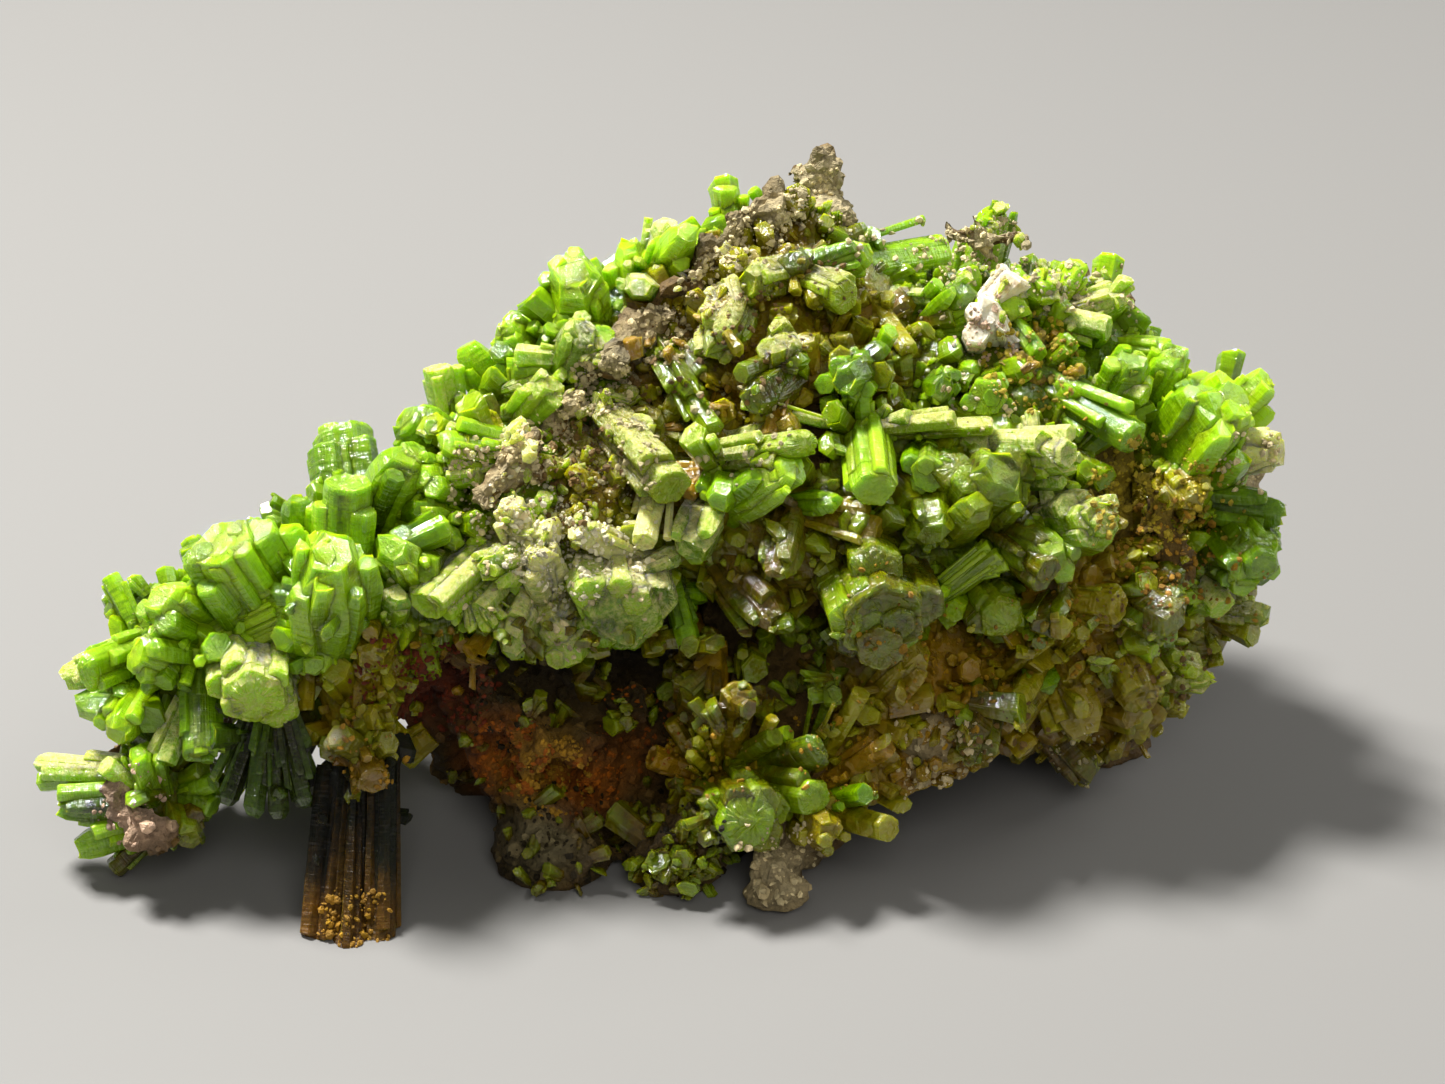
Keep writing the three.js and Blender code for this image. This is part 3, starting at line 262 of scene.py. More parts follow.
        ("prism", 17.6, 17.1, 2.2, 1.4, 140, 50, "green"), ("prism", 18.6, 15.8, 2.0, 1.7, 300, 50, "gold"),
        ("prism", 19.1, 16.8, 2.0, 1.4, 40, 50, "green"),
    ]),
    "hanging_fan": (1, [("spray", 13.6, 16.6, 6.0, 3.6, 268, 5, "deep")]),
    "standing_crystal": (1, [("bundle", 17.9, 10.6, 7.6, 3.6, 268, 8, "rusted")]),
    "quartz_knob": (1, [("chunk", 49.3, 38.1, 2.8, 2.5, 90, 75, "pale")]),
}
# The order in which the crusts were placed, which the seeds of their crystals follow.
CAD_ORDER = [
    "left_lobe_cluster", "left_cluster", "hanging_fan", "standing_crystal", "olive_cluster",
    "back_slope_cluster", "pale_crust_cluster", "middle_cluster", "peak_cluster", "shoulder_cluster",
    "quartz_knob", "right_end_cluster", "right_face_cluster", "rosette_cluster",
]
UNCRUSTED = ("quartz_knob", "hanging_fan", "olive_cluster", "standing_crystal")  # stand without a crust
# Forms that stand for a group of crystals: how many, the degrees that they fan out over, their own form, and
# the width of each as a share of the group's.
GROUPS = {
    "spray": dict(count=4, fan=34, form="needle", width=0.34),
    "bundle": dict(count=3, fan=4, form="prism", width=0.5),
}
GROUP_WIDTH = 0.66  # share of the width that the middles of a group spread over
GROUP_SHIFT = 0.07  # most that one is moved along its axis, as a share of the length
GROUP_RISE = 6  # degrees, the most that one rises more or less than its group
OUTER_LOSS = 0.2  # how much shorter the outer ones are
CRYSTAL_LIFT = 0.36  # of a crystal's middle above its seat, as a share of how far it stands out
# Crusts of the far side: [name, x, degrees round the spine from +Y over +Z, crystals].
FAR_CRUSTS = [
    ("far_left_cluster", -22, -2, 4), ("far_middle_cluster", -3, 22, 5),
    ("far_top_cluster", 11, 30, 4), ("far_right_cluster", 18, 4, 5),
]
FAR_SPACING = 2.6
FAR_WIDTHS = (2.4, 3.6)
FAR_LENGTHS = (1.1, 0.6)  # least, and how much more, as shares of the width
FAR_SLANT = 0.4
FAR_LIFT = 0.3  # of the middle above the crust's face, as a share of the length
FAR_LOOKS = ("green", "bright", "pale")
LOWEST_ROOT = 3.0
# Places on the show grid where the rock stays bare.
BARE_ROCK = [
    (40.8, 43.6), (38.0, 42.4), (35.6, 40.4), (32.8, 37.8), (30.0, 35.2), (27.6, 32.6), (26.0, 30.4),
    (36.4, 22.0), (40.4, 21.4), (47.4, 15.6), (55.6, 30.8), (57.6, 29.0), (58.0, 27.0),
    (24.0, 20.0), (28.0, 19.0), (32.0, 19.0),
]


# ---- Show frame ----
def show_point(across, up, depth):
    """The point seen at (across, up) on the show grid, that deep behind it, in millimetres."""
    across, up, depth = (np.asarray(x, float)[..., None] for x in (across, up, depth))
    sight = (across - GRID_CENTRE[0]) * ACROSS + (up - GRID_CENTRE[1]) * UP + EYE_DISTANCE * INTO
    return EYE + sight * (1 + depth / EYE_DISTANCE)


def show_direction(turn, rise):
    """The way a free end points, in degrees: turn is anticlockwise from across, rise is towards the eye."""
    turn, rise = math.radians(turn), math.radians(rise)
    return (math.cos(turn) * ACROSS + math.sin(turn) * UP) * math.cos(rise) - math.sin(rise) * INTO


def unit(vector):
    """The vectors, each with a length of 1."""
    return vector / np.linalg.norm(vector, axis=-1, keepdims=True)


def chance(seed):
    """A repeatable number from 0 to 1 for each seed."""
    step, start, height = CHANCE_WAVE
    wave = math.sin(seed * step + start) * height
    return wave - math.floor(wave)


def spread(seed, amount):
    """A repeatable number from -amount to amount for each seed."""
    return (chance(seed) * 2 - 1) * amount


def at_least(seed, least, more):
    """A repeatable number from least to least + more for each seed."""
    return least + more * chance(seed)


# ---- Skin of the rock, as rings of corners round a spine ----
def mass_distances(points, masses):
    """Signed distance from each point to each mass, negative inside it."""
    centres = show_point(*masses[:, :3].T)
    local = (points[..., None, :] - centres) @ SHOW_AXES.T
    reach = np.linalg.norm(local / masses[:, 3:], axis=-1)
    slope = np.linalg.norm(local / masses[:, 3:] ** 2, axis=-1)
    return reach * (reach - 1) / np.maximum(slope, 1e-9)


def rock_distance(points):
    """Signed distance from each point to the rock, negative inside it."""
    outside = mass_distances(points, ROCK_MASSES).min(axis=-1)
    return np.maximum(outside, -mass_distances(points, HOLLOW)[..., 0])


def relief(points):
    """Ledges and pits of broken rock, from about -1 to 1, from waves with these radians in a millimetre."""
    x, y, z = np.moveaxis(points, -1, 0)
    swell = np.sin(0.9 * x + 0.4 * y) * np.sin(0.8 * z - 0.7 * y + 1.3)
    ledge = np.tanh(4 * np.sin(1.1 * z - 0.5 * x + 2 * swell))
    return 0.5 * swell + 0.5 * ledge * np.sin(0.7 * x + 0.9 * y)


SPINE = show_point(*np.array(SPINE_GRID).T)


def spine_at(x):
    """The point of the spine at this x."""
    after = max(1, int(np.argmax(SPINE[:, 0] >= x)))
    a, b = SPINE[after - 1], SPINE[after]
    return a + (b - a) * (x - a[0]) / (b[0] - a[0])


def skin_point(x, angle):
    """Point of the skin found by coming in towards the spine, round an angle from +Y over +Z."""
    outward = np.array([0.0, math.cos(angle), math.sin(angle)])
    reaches = np.arange(SEARCH_RADIUS, THINNEST_ROCK - SEARCH_STEP, -SEARCH_STEP)
    inside = rock_distance(spine_at(x) + reaches[:, None] * outward) <= 0
    inside[-1] = True
    reach = reaches[int(np.argmax(inside))]
    skin = spine_at(x) + reach * outward
    return skin + outward * RELIEF * relief(skin) * min(1, reach / FULL_RELIEF)


def station_x(station):
    """The x of a ring of corners."""
    even = (station + 1) / (STATIONS + 1)
    share = even + (0.5 - 0.5 * math.cos(even * math.pi) - even) * END_CROWDING
    return SPINE[0, 0] + (SPINE[-1, 0] - SPINE[0, 0]) * share


def corner_of(station, side):
    """The index of a corner of a ring."""
    return station * RING_SIDES + side % RING_SIDES


def cell_corners(cell):
    """The indices of the four corners of a cell of the skin."""
    station, side = divmod(cell, RING_SIDES)
    return [corner_of(station + i, side + j) for i, j in ((0, 0), (0, 1), (1, 1), (1, 0))]


class Skin:
    """The rock's skin: corners, their outward normals, and the face that a crust on it has."""

    def __init__(self):
        self.corners = np.array([
            skin_point(station_x(station), side / RING_SIDES * 2 * math.pi)
            for station in range(STATIONS) for side in range(RING_SIDES)
        ])
        self.cells = list(range((STATIONS - 1) * RING_SIDES))
        faces = []
        for cell in self.cells:
            a, b, c, d = cell_corners(cell)
            faces += [(a, b, c), (a, c, d)]
        left, right = len(self.corners), len(self.corners) + 1
        caps = []
        for side in range(RING_SIDES):
            caps.append((left, corner_of(0, side + 1), corner_of(0, side)))
            caps.append((right, corner_of(STATIONS - 1, side), corner_of(STATIONS - 1, side + 1)))
        closed = np.vstack([self.corners, SPINE[:1], SPINE[-1:]])
        normals = np.zeros_like(closed)
        triangles = np.array(faces + caps)
        a, b, c = (closed[triangles[:, i]] for i in range(3))
        for i in range(3):
            np.add.at(normals, triangles[:, i], np.cross(b - a, c - a))
        self.normals = unit(normals)[:len(self.corners)]
        grown = self.corners + self.normals * CRUST_HEIGHT
        self.face = BVHTree.FromPolygons([Vector(p) for p in grown], faces)
        corners = np.array([cell_corners(cell) for cell in self.cells])
        self.centres = self.corners[corners].mean(axis=1)
        outward = unit(self.normals[corners].mean(axis=1))
        self.crust_middles = self.centres + outward * (SEAT_GAP + CRUST_THICKNESS / 2)

    def meets_crust(self, start, direction):
        """(point, normal, distance) where a line first meets the crust's face from outside, or None."""
        start, direction = Vector(start), Vector(direction).normalized()
        travelled = 0.0
        while True:
            point, normal, _, distance = self.face.ray_cast(start, direction)
            if point is None:
                return None
            travelled += distance
            if normal.dot(direction) < 0:
                return np.array(point), np.array(normal), travelled
            start = point + direction * JUST_PAST
            travelled += JUST_PAST

    def seat_point(self, across, up):
        """Where the line of sight meets the crust, or passes closest to it."""
        hit = self.meets_crust(EYE, show_point(across, up, 0) - EYE)
        if hit:
            return hit[0]
        passing = show_point(across, up, SIGHT_DEPTHS)
        return passing[int(np.argmin(rock_distance(passing)))]

    def nearest_cell(self, cells, point):
        """Whichever of the cells has its crust nearest to the point."""
        return cells[int(np.argmin(np.linalg.norm(self.crust_middles[cells] - point, axis=1)))]


# ---- Where each crystal stands ----
def rooted(skin, crystal):
    """Runs a crystal back from its tip until it is rooted in the crust, if it meets one."""
    axis, length = crystal["axis"], crystal["length"]
    tip = crystal["middle"] + axis * length / 2
    hit = skin.meets_crust(tip, -axis)
    reach = hit[2] + ROOT_DEPTH if hit and hit[2] < length + ROOT_REACH else length
    return {**crystal, "tip": tip, "length": reach, "root": tip - axis * reach}


def leaned(skin, crystal, cells, owners, name):
    """Leans a crystal that would stand outside its own crust, so that it is rooted there. Its tip stays."""
    if not cells:
        return crystal
    nearest = skin.nearest_cell(skin.cells, crystal["root"])
    is_inside = np.linalg.norm(skin.crust_middles[nearest] - crystal["root"]) < CELL_REACH
    if is_inside and owners[nearest] == name:
        return crystal
    root = skin.crust_middles[skin.nearest_cell(cells, crystal["root"])]
    leaning = crystal["tip"] - root
    return {**crystal, "root": root, "length": float(np.linalg.norm(leaning)), "axis": unit(leaning)}


def show_crystals(skin, row, seed):
    """The single crystals that a row stands for."""
    form, across, up, length, width, turn, rise, look = row
    axis = show_direction(turn, rise)
    lean = math.radians(rise)
    lift = CRYSTAL_LIFT * (length * math.sin(lean) + width * math.cos(lean))
    middle = skin.seat_point(across, up) - INTO * lift
    if form not in GROUPS:
        crystal = dict(form=form, middle=middle, axis=axis, length=length, width=width, seed=seed, look=look)
        return [rooted(skin, crystal)]
    group = GROUPS[form]
    crystals = []
    for i in range(group["count"]):
        place = i / (group["count"] - 1) - 0.5
        beside = show_direction(turn + 90, 0) * place * width * GROUP_WIDTH
        crystals.append(rooted(skin, dict(
            form=group["form"], look=look, seed=seed * 13 + i, is_bundled=form == "bundle",
            middle=middle + beside + axis * spread(seed * 5 + i, length * GROUP_SHIFT),
            axis=show_direction(turn + place * group["fan"], rise + spread(seed + i, GROUP_RISE)),
            length=length * (1 - abs(place) * OUTER_LOSS), width=width * group["width"],
        )))
    return crystals


def far_crystals(skin, x, degrees, count, seed):
    """Crystals set round the middle of a far cluster like the seeds of a sunflower."""
    angle = math.radians(degrees)
    outward = np.array([0.0, math.cos(angle), math.sin(angle)])
    over = np.array([0.0, -math.sin(angle), math.cos(angle)])
    crystals = []
    for i in range(count):
        own = seed + i * 17
        reach = FAR_SPACING * math.sqrt(i + 0.3)
        turn = i * GOLDEN_TURN
        start = spine_at(x) + outward * SEARCH_RADIUS
        start = start + ACROSS * reach * math.cos(turn) + over * reach * math.sin(turn)
        hit = skin.meets_crust(start, -outward)
        if not hit or hit[0][2] < LOWEST_ROOT:
            continue
        axis = unit(hit[1] + [spread(own + n, FAR_SLANT) for n in range(3)])
        width = FAR_WIDTHS[0] + (FAR_WIDTHS[1] - FAR_WIDTHS[0]) * chance(own + 4)
        length = width * at_least(own + 5, *FAR_LENGTHS)
        crystals.append(rooted(skin, dict(
            form="chunk" if chance(own + 3) < 0.5 else "prism", look=FAR_LOOKS[i % len(FAR_LOOKS)], seed=own,
            middle=hit[0] + axis * length * FAR_LIFT, axis=axis, length=length, width=width,
        )))
    return crystals


def owners_of_cells(skin, clusters):
    """Gives each cell near a root to the cluster whose root is nearest. A wide crystal counts as nearer."""
    roots = [(name, c["root"], c["width"]) for name, cs in clusters if name not in UNCRUSTED for c in cs]
    roots += [(None, skin.seat_point(*place), 0) for place in BARE_ROCK]
    places = np.array([root for _, root, _ in roots])
    widths = np.array([width for _, _, width in roots])
    owners = []
    for centre in skin.centres:
        gaps = np.linalg.norm(places - centre, axis=1) - CRUST_HEIGHT / 2 - widths / 6
        nearest = int(np.argmin(gaps))
        owners.append(roots[nearest][0] if gaps[nearest] < CRUST_REACH else None)
    for cell in skin.cells:  # two cells of a patch that meet only at a corner get or lose a cell
        if cell // RING_SIDES == STATIONS - 2:
            continue
        square = cell_corners(cell)
        for a, b, c, d in (square, square[1:] + square[:1]):
            owner = owners[a] if a < len(owners) else None
            others = [owners[x] if x < len(owners) else None for x in (b, c, d)]
            if not owner or others[1] != owner or owner in (others[0], others[2]):
                continue
            free = next((x for x, other in ((b, others[0]), (d, others[2])) if not other), None)
            if free is None:
                owners[c] = None
            else:
                owners[free] = owner
    return owners


class Growth:
    """Every cluster's crystals and the cells of its crust."""

    def __init__(self, skin):
        clusters, extras = [], {}
        for index, name in enumerate(CAD_ORDER):
            count, rows = CRYSTALS[name]
            made = [show_crystals(skin, row, index * 101 + i * 7 + 1) for i, row in enumerate(rows)]
            clusters.append((name, sum(made[:count], [])))
            extras[name] = sum(made[count:], [])
        for index, (name, *place) in enumerate(FAR_CRUSTS):
            clusters.append((name, far_crystals(skin, *place, 5000 + index * 977)))
            extras[name] = []
        owners = owners_of_cells(skin, clusters)
        self.cells = {name: [cell for cell in skin.cells if owners[cell] == name] for name, _ in clusters}
        self.crystals = {
            name: [leaned(skin, c, self.cells[name], owners, name) for c in own + extras[name]]
            for name, own in clusters
        }


# ---- Meshes with values at every vertex ----
class Shell:
    """Vertices in millimetres, faces, and each vertex's look, place along its crystal, tint and grain."""

    def __init__(self):
        self.points, self.faces, self.count = [], [], 0
        self.values = {"look": [], "tip": [], "tint": [], "grain": [], "grows": []}

    def add(self, points, faces, look, tip, tint, grain, grows):
        """Adds vertices and faces. A value is one for each vertex, or one for them all."""
        size = len(points)
        self.points.append(np.asarray(points, float))
        self.faces += [tuple(corner + self.count for corner in face) for face in faces]
        for name, value, width in (
            ("look", look, 3), ("tip", tip, 1), ("tint", tint, 1), ("grain", grain, 3), ("grows", grows, 1),
        ):
            value = np.asarray(value, float)
            value = value.reshape(-1, width) if value.size == size * width else value.reshape(1, width)
            self.values[name].append(np.broadcast_to(value, (size, width)))
        self.count += size

    def mesh(self, name, look_name="look"):
        """The shell as a mesh in the part's frame, still in millimetres."""
        mesh = bpy.data.meshes.new(name)
        mesh.from_pydata((np.vstack(self.points) - FOOTPRINT_CENTRE).tolist(), [], self.faces)
        for key, parts in self.values.items():
            key = look_name if key == "look" else key
            value = np.vstack(parts)
            is_vector = value.shape[1] == 3
            attribute = mesh.attributes.new(key, "FLOAT_VECTOR" if is_vector else "FLOAT", "POINT")
            attribute.data.foreach_set("vector" if is_vector else "value", value.astype(np.float32).ravel())
        mesh.update()
        return mesh


# ---- One crystal ----
# A prism is regular, a chunk is stout, rounded and uneven, a plate is flattened and a needle is thin. As
# shares of the width: uneven is how far corners stray and rough how far rings do, flatness is the depth, end
# is the end face's width and bevel its rim's height. Mates are the smaller crystals beside it.
HABITS = {
    "prism": dict(sides=6, uneven=0.1, rough=0.02, flatness=1.0, end=0.84, bevel=0.09, steps=4, mates=4),
    "chunk": dict(sides=6, uneven=0.24, rough=0.1, flatness=0.86, end=0.0, bevel=0.3, steps=0, mates=8),
    "plate": dict(sides=6, uneven=0.12, rough=0.02, flatness=0.5, end=0.8, bevel=0.12, steps=3, mates=5),
    "needle": dict(sides=5, uneven=0.05, rough=0.0, flatness=1.0, end=0.6, bevel=0.3, steps=0, mates=9),
}
# The rings of a crystal without an end face: [height, width] as shares of its length and width.
DOME = [(0.0, 0.75), (0.3, 0.97), (0.5, 1.04), (0.76, 1.0), (0.9, 0.84), (1.0, 0.6)]
EDGE_ROUND = 0.1  # of each corner of the section, as a share of the side
RIBS = (0.26, 0.3, 0.47, 0.51, 0.72, 0.76)  # where the slopes between lengthwise ribs lie along a side
RIB_DEPTH = 0.022  # of the ribs, as a share of the width
RIBBED_WIDTH = 1.5  # a crystal at least this wide shows ribs
ROOT_WIDTH = 0.8  # of a crystal's lowest ring, as a share of its width
NECK_WIDTH = 0.95  # where it leaves the crust
STEPPED = 0.9  # growth steps end this far up a crystal
STEP_CHANGE = 0.06  # most that a step changes the width by
STEP_WIDTHS = (0.88, 1.04)
END_RELIEF = 0.06  # of a hollow or a dome in the end, as a share of the width
HOLLOW_ENDS = 0.3  # of the wide crystals
RAISED_ENDS = 0.35
PRISM_LEAN = 0.05  # most that a crystal drifts sideways for its height
END_TILT = 0.7
BROKEN_SLOPE = 0.6  # of the end of a plain crystal, at most
BROKEN_ROUGHNESS = 0.07  # of a plain crystal's rings, as a share of the width
PLAIN_WIDTH = 0.7  # a crystal beside a larger one is plain if it is thinner than this
PLAIN_END = 0.42  # of a plain crystal whose habit has no end face
PLAIN_BRIM = 0.06  # of a plain crystal's end, as a share of the width
COMPOUND_WIDTH = 2.0  # a crystal wider than this is built of several side by side
COMPOUND_MATES = 6
COMPOUND_CORE = 0.94  # size of the one in the middle
BUNDLED_MATES = 9
MATED_WIDTH = 1.3  # a crystal thinner than this has only a few mates
FEWEST_MATES = 2
WIDE = 3.0  # a crystal wider than this has a few more
WIDE_MATES = 4
# How far off, wide, long and slanted a mate is, as [least, how much more] of its crystal, and the same for
# crystals packed side by side and for those in a bundle.
MATE = dict(away=(0.28, 0.18), size=(0.2, 0.36), reach=(0.45, 0.5), slant=(0.1, 0.4))
PACKED = dict(away=0.42, size=(0.28, 0.3), reach=(0.82, 0.24), fall=0.35, slant=0.35, prism_slant=0.03)
BUNDLED = dict(size=1.2, reach=(0.8, 0.19), slant=0.1)
CHUNK_MATES = 0.6  # of a chunk's mates are chunks
BURIED_SHARE = 0.6  # of the root's depth that shows no growth
LOOK_SPREAD = (0.12, 0.1, 0.06)  # most that a crystal's look differs from its row's
GRAIN_SHIFT = 50  # most that a crystal's patterns are shifted, so that no two are alike
RUSTED_TIP = (0.55, 0.3, 0.45)  # where the gold starts, how gradually it comes, and its strength
DRUSE_FADE = (0.75, 1.6)  # how readily the druse grows at a crystal's root, and its fall along the length
CHUNK_DRUSE_FADE = (0.6, 0.9)


def crystal_frame(axis, seed):
    """Two directions across a crystal, turned round it by its seed."""
    side = unit(np.cross(axis, ACROSS if abs(axis[2]) > 0.9 else np.array([0.0, 0.0, 1.0])))
    turn = chance(seed) * math.pi
    side = side * math.cos(turn) + np.cross(axis, side) * math.sin(turn)
    return side, np.cross(axis, side)


def section(habit, width, seed, is_plain):
    """A ring of points of about unit radius round a crystal, with bevelled corners and ribbed sides."""
    sides = habit["sides"]
    corners = []
    for corner in range(sides):
        angle = corner / sides * 2 * math.pi
        radius = 1 + spread(seed * 7 + corner, habit["uneven"])
        corners.append(np.array([math.cos(angle) * radius, math.sin(angle) * radius * habit["flatness"]]))
    if is_plain:
        return np.array(corners)
    is_ribbed = width >= RIBBED_WIDTH and habit["steps"] > 0
    shares = [EDGE_ROUND, *(RIBS if is_ribbed else ()), 1 - EDGE_ROUND]
    ring = []
    for i, corner in enumerate(corners):
        after = corners[(i + 1) % sides]
        depth = 0.0
        for n, share in enumerate(shares):
            if is_ribbed and n % 2 == 0:
                depth = spread(seed * 29 + i * 7 + n, RIB_DEPTH)
            ring.append((corner + (after - corner) * share) * (1 + depth))
    return np.array(ring)


def crystal_profile(length, width, habit, seed, buried, is_plain):
    """[height, share of the width] of each ring, from the root to the end."""
    end = habit["end"]
    cap = habit["bevel"] * width
    if is_plain:
        end = end or PLAIN_END
        brim = (length - PLAIN_BRIM * width, (1 + end) / 2)
        return [(0.0, ROOT_WIDTH), (length - cap, 1.0), brim, (length, end)]
    if not end:
        return [(length * height, share) for height, share in DOME]
    rings = [(0.0, ROOT_WIDTH), (length * buried, NECK_WIDTH)]
    radius = NECK_WIDTH
    for i in range(habit["steps"]):
        step = at_least(seed * 3 + i, i + 0.2, 0.6)
        height = length * (buried + (STEPPED - buried) * step / habit["steps"])
        height = min(height, length - cap * 1.3)
        if height <= rings[-1][0] + 0.02:  # too close to the last one to show
            continue
        change = spread(seed * 5 + i, STEP_CHANGE)
        rings.append((height, radius))
        radius = min(STEP_WIDTHS[1], max(STEP_WIDTHS[0], radius + change))
        rings.append((height + (0.015 + abs(change) * 0.12) * width, radius))
    if length - cap > rings[-1][0] + 0.01:
        rings.append((length - cap, radius))
    rings += [(length - cap * 0.12, end * 1.02), (length, end * 0.94)]
    if width >= RIBBED_WIDTH:
        kind = chance(seed * 8)
        depth = END_RELIEF * width * (0.4 + chance(seed * 9))
        if kind < HOLLOW_ENDS:
            rings.append((length - depth, end * at_least(seed * 6, 0.55, 0.2)))
        elif kind < HOLLOW_ENDS + RAISED_ENDS:
            rings += [(length + depth * 0.7, end * 0.72), (length + depth, end * 0.4)]
    return rings


def prism_points(length, width, habit, seed, buried, is_plain):
    """Rings of a crystal along +Z, its faces, and the share of the length that each point is up it."""
    ring = section(habit, width, seed, is_plain)
    size = len(ring)
    profile = crystal_profile(length, width, habit, seed, buried, is_plain)
    lean = np.array([spread(seed * 11 + i, PRISM_LEAN) for i in range(2)])
    slope = BROKEN_SLOPE if is_plain else habit["bevel"] + 0.05
    tilt = np.array([spread(seed * 12 + i, END_TILT) for i in range(2)]) * slope
    roughness = BROKEN_ROUGHNESS if is_plain else habit["rough"]
    points = []
    for level, (height, share) in enumerate(profile):
        rough = np.array([spread(seed * 23 + level * 13 + j // 2, roughness) for j in range(size)])
        lift = np.array([spread(seed * 37 + level * 11 + j, roughness * 0.8) for j in range(size)]) * width
        flat = ring * (1 + rough[:, None]) * share * width / 2
        drop = (flat @ tilt) * (height / length) ** 3 + lift * (height > 0)  # slants the end, not the root
        points.append(np.column_stack([flat + lean * height * 0.3, height + drop]))
    count = len(profile)
    points = np.vstack(points)
    faces = []
    for i in range(count - 1):
        for j in range(size):
            k = (j + 1) % size
            faces.append((i * size + j, i * size + k, (i + 1) * size + k, (i + 1) * size + j))
    faces.append(tuple(reversed(range(size))))
    faces.append(tuple(range((count - 1) * size, count * size)))
    return points, faces, np.clip(points[:, 2] / length, 0, 1)


def placed(points, root, axis, side, front):
    """The points of a thing that stands along +Z, moved to stand at the root along the axis."""
    return root + points[:, :1] * side + points[:, 1:2] * front + points[:, 2:3] * axis


def crystal_members(form, length, width, seed, is_bundled=False):
    """A crystal and the smaller ones in and beside it: (form, offset across, length, width, lean, seed)."""
    habit = HABITS[form]
    is_compound = width > COMPOUND_WIDTH and form in ("prism", "chunk") and not is_bundled
    core = COMPOUND_CORE if is_compound else 1
    members = [(form, np.zeros(2), length * core, width * core, np.zeros(2), seed)]
    count = habit["mates"] if width > MATED_WIDTH or form == "needle" else FEWEST_MATES
    if is_compound:
        count = COMPOUND_MATES
    if is_bundled:
        count = BUNDLED_MATES
    if width > WIDE:
        count += WIDE_MATES
    for i in range(count):
        own = seed * 17 + i * 31 + 5
        if is_compound:  # shorter towards the outside
            angle = i * GOLDEN_TURN + seed
            away = width * PACKED["away"] * math.sqrt((i + 0.4) / count)
            size = width * at_least(own + 2, *PACKED["size"])
            reach = length * (at_least(own + 3, *PACKED["reach"]) - PACKED["fall"] * away / width)
            slant = PACKED["prism_slant"] if form == "prism" else PACKED["slant"] * chance(own + 4)
        else:
            angle = 2 * math.pi * (i + chance(own)) / count
            away = width * at_least(own + 1, *MATE["away"])
            size = width * (MATE["size"][0] + MATE["size"][1] * chance(own + 2) ** 1.5)  # most are thin
            reach = length * at_least(own + 3, *MATE["reach"])
            slant = at_least(own + 4, *MATE["slant"])
        if is_bundled:
            reach = length * at_least(own + 3, *BUNDLED["reach"])
            slant = slant * BUNDLED["slant"]
            size = size * BUNDLED["size"]
        offset = np.array([math.cos(angle), math.sin(angle) * habit["flatness"]]) * away
        is_alike = form == "needle" or form == "chunk" and chance(own + 6) < CHUNK_MATES
        mate = form if is_alike else "prism"
        members.append((mate, offset, reach, size, offset / max(width, 0.1) * slant, own))
    return members


def add_crystal(shell, crystal):
    """A crystal of the show face or the far side, with the smaller ones beside it."""
    side, front = crystal_frame(crystal["axis"], crystal["seed"])
    axis, root = crystal["axis"], crystal["root"]
    look = np.array(LOOKS[crystal["look"]])
    root_druse, fall = CHUNK_DRUSE_FADE if crystal["form"] == "chunk" else DRUSE_FADE
    sizes = [crystal[key] for key in ("form", "length", "width", "seed")]
    for form, offset, length, width, lean, seed in crystal_members(*sizes, crystal.get("is_bundled", False)):
        buried = ROOT_DEPTH * BURIED_SHARE / length
        points, faces, tip = prism_points(length, width, HABITS[form], seed, buried, width < PLAIN_WIDTH)
        own_axis = unit(axis + side * lean[0] + front * lean[1])
        own_side = unit(side - own_axis * (side @ own_axis))
        own_front = np.cross(own_axis, own_side)
        start = root + side * offset[0] + front * offset[1]
        placed_points = placed(points, start, own_axis, own_side, own_front)
        tint = chance(seed * 19 + 3)
        change = [spread(seed + i, amount) for i, amount in enumerate(LOOK_SPREAD)]
        own_look = np.clip(look + change, 0, 1)
        if crystal["look"] == "rusted":
            own_look = np.tile(own_look, (len(points), 1))
            gold_start, gradual, strength = RUSTED_TIP
            own_look[:, 2] += smooth_step((tip - gold_start) / gradual) * strength
        grain = points + [chance(seed + i) * GRAIN_SHIFT for i in (0, 5, 9)]
        along = np.clip(points[:, 2] / crystal["length"], 0, 1)
        grows = np.clip(root_druse - along * fall, 0, 1)
        shell.add(placed_points, faces, own_look, tip, tint, grain, grows)


# ---- Crust between the crystals ----
CELL_STEPS = 7  # squares along each side of a cell of the skin
CRUST_LUMPS = ((1.7, 0.9), (0.8, 0.4))  # width and height of each size of lump
CRUST_SINK = 0.75  # of the crust's face under its lumps
CRUST_UNDERSIDE = 0.25  # below the rock's skin
CRUST_EDGE = (0.42, 0.58, 1.6)  # share of the height at its edge, how much more within it, and how far within
CRUST_LOOK_AND_SHADE = ([0.55, 0.7, 1.0], [0.06, 0.0, 0.2])  # share of its crystals' look, lightness near halved as painted shade, and what is added
CRUST_TIP = 0.15  # the crust is coloured like this place along a crystal


def smooth_step(x):
    """0 below 0, 1 above 1, and a smooth rise between them."""
    x = np.clip(x, 0, 1)
    return x * x * (3 - 2 * x)


def lumps(points, size, seed):
    """Faceted lumps of about that size, from 0 to 1, at each point."""
    return np.array([
        1 - min(1, noise.voronoi(Vector(p) / size + Vector((seed, 0, 0)))[0][0]) for p in points
    ])


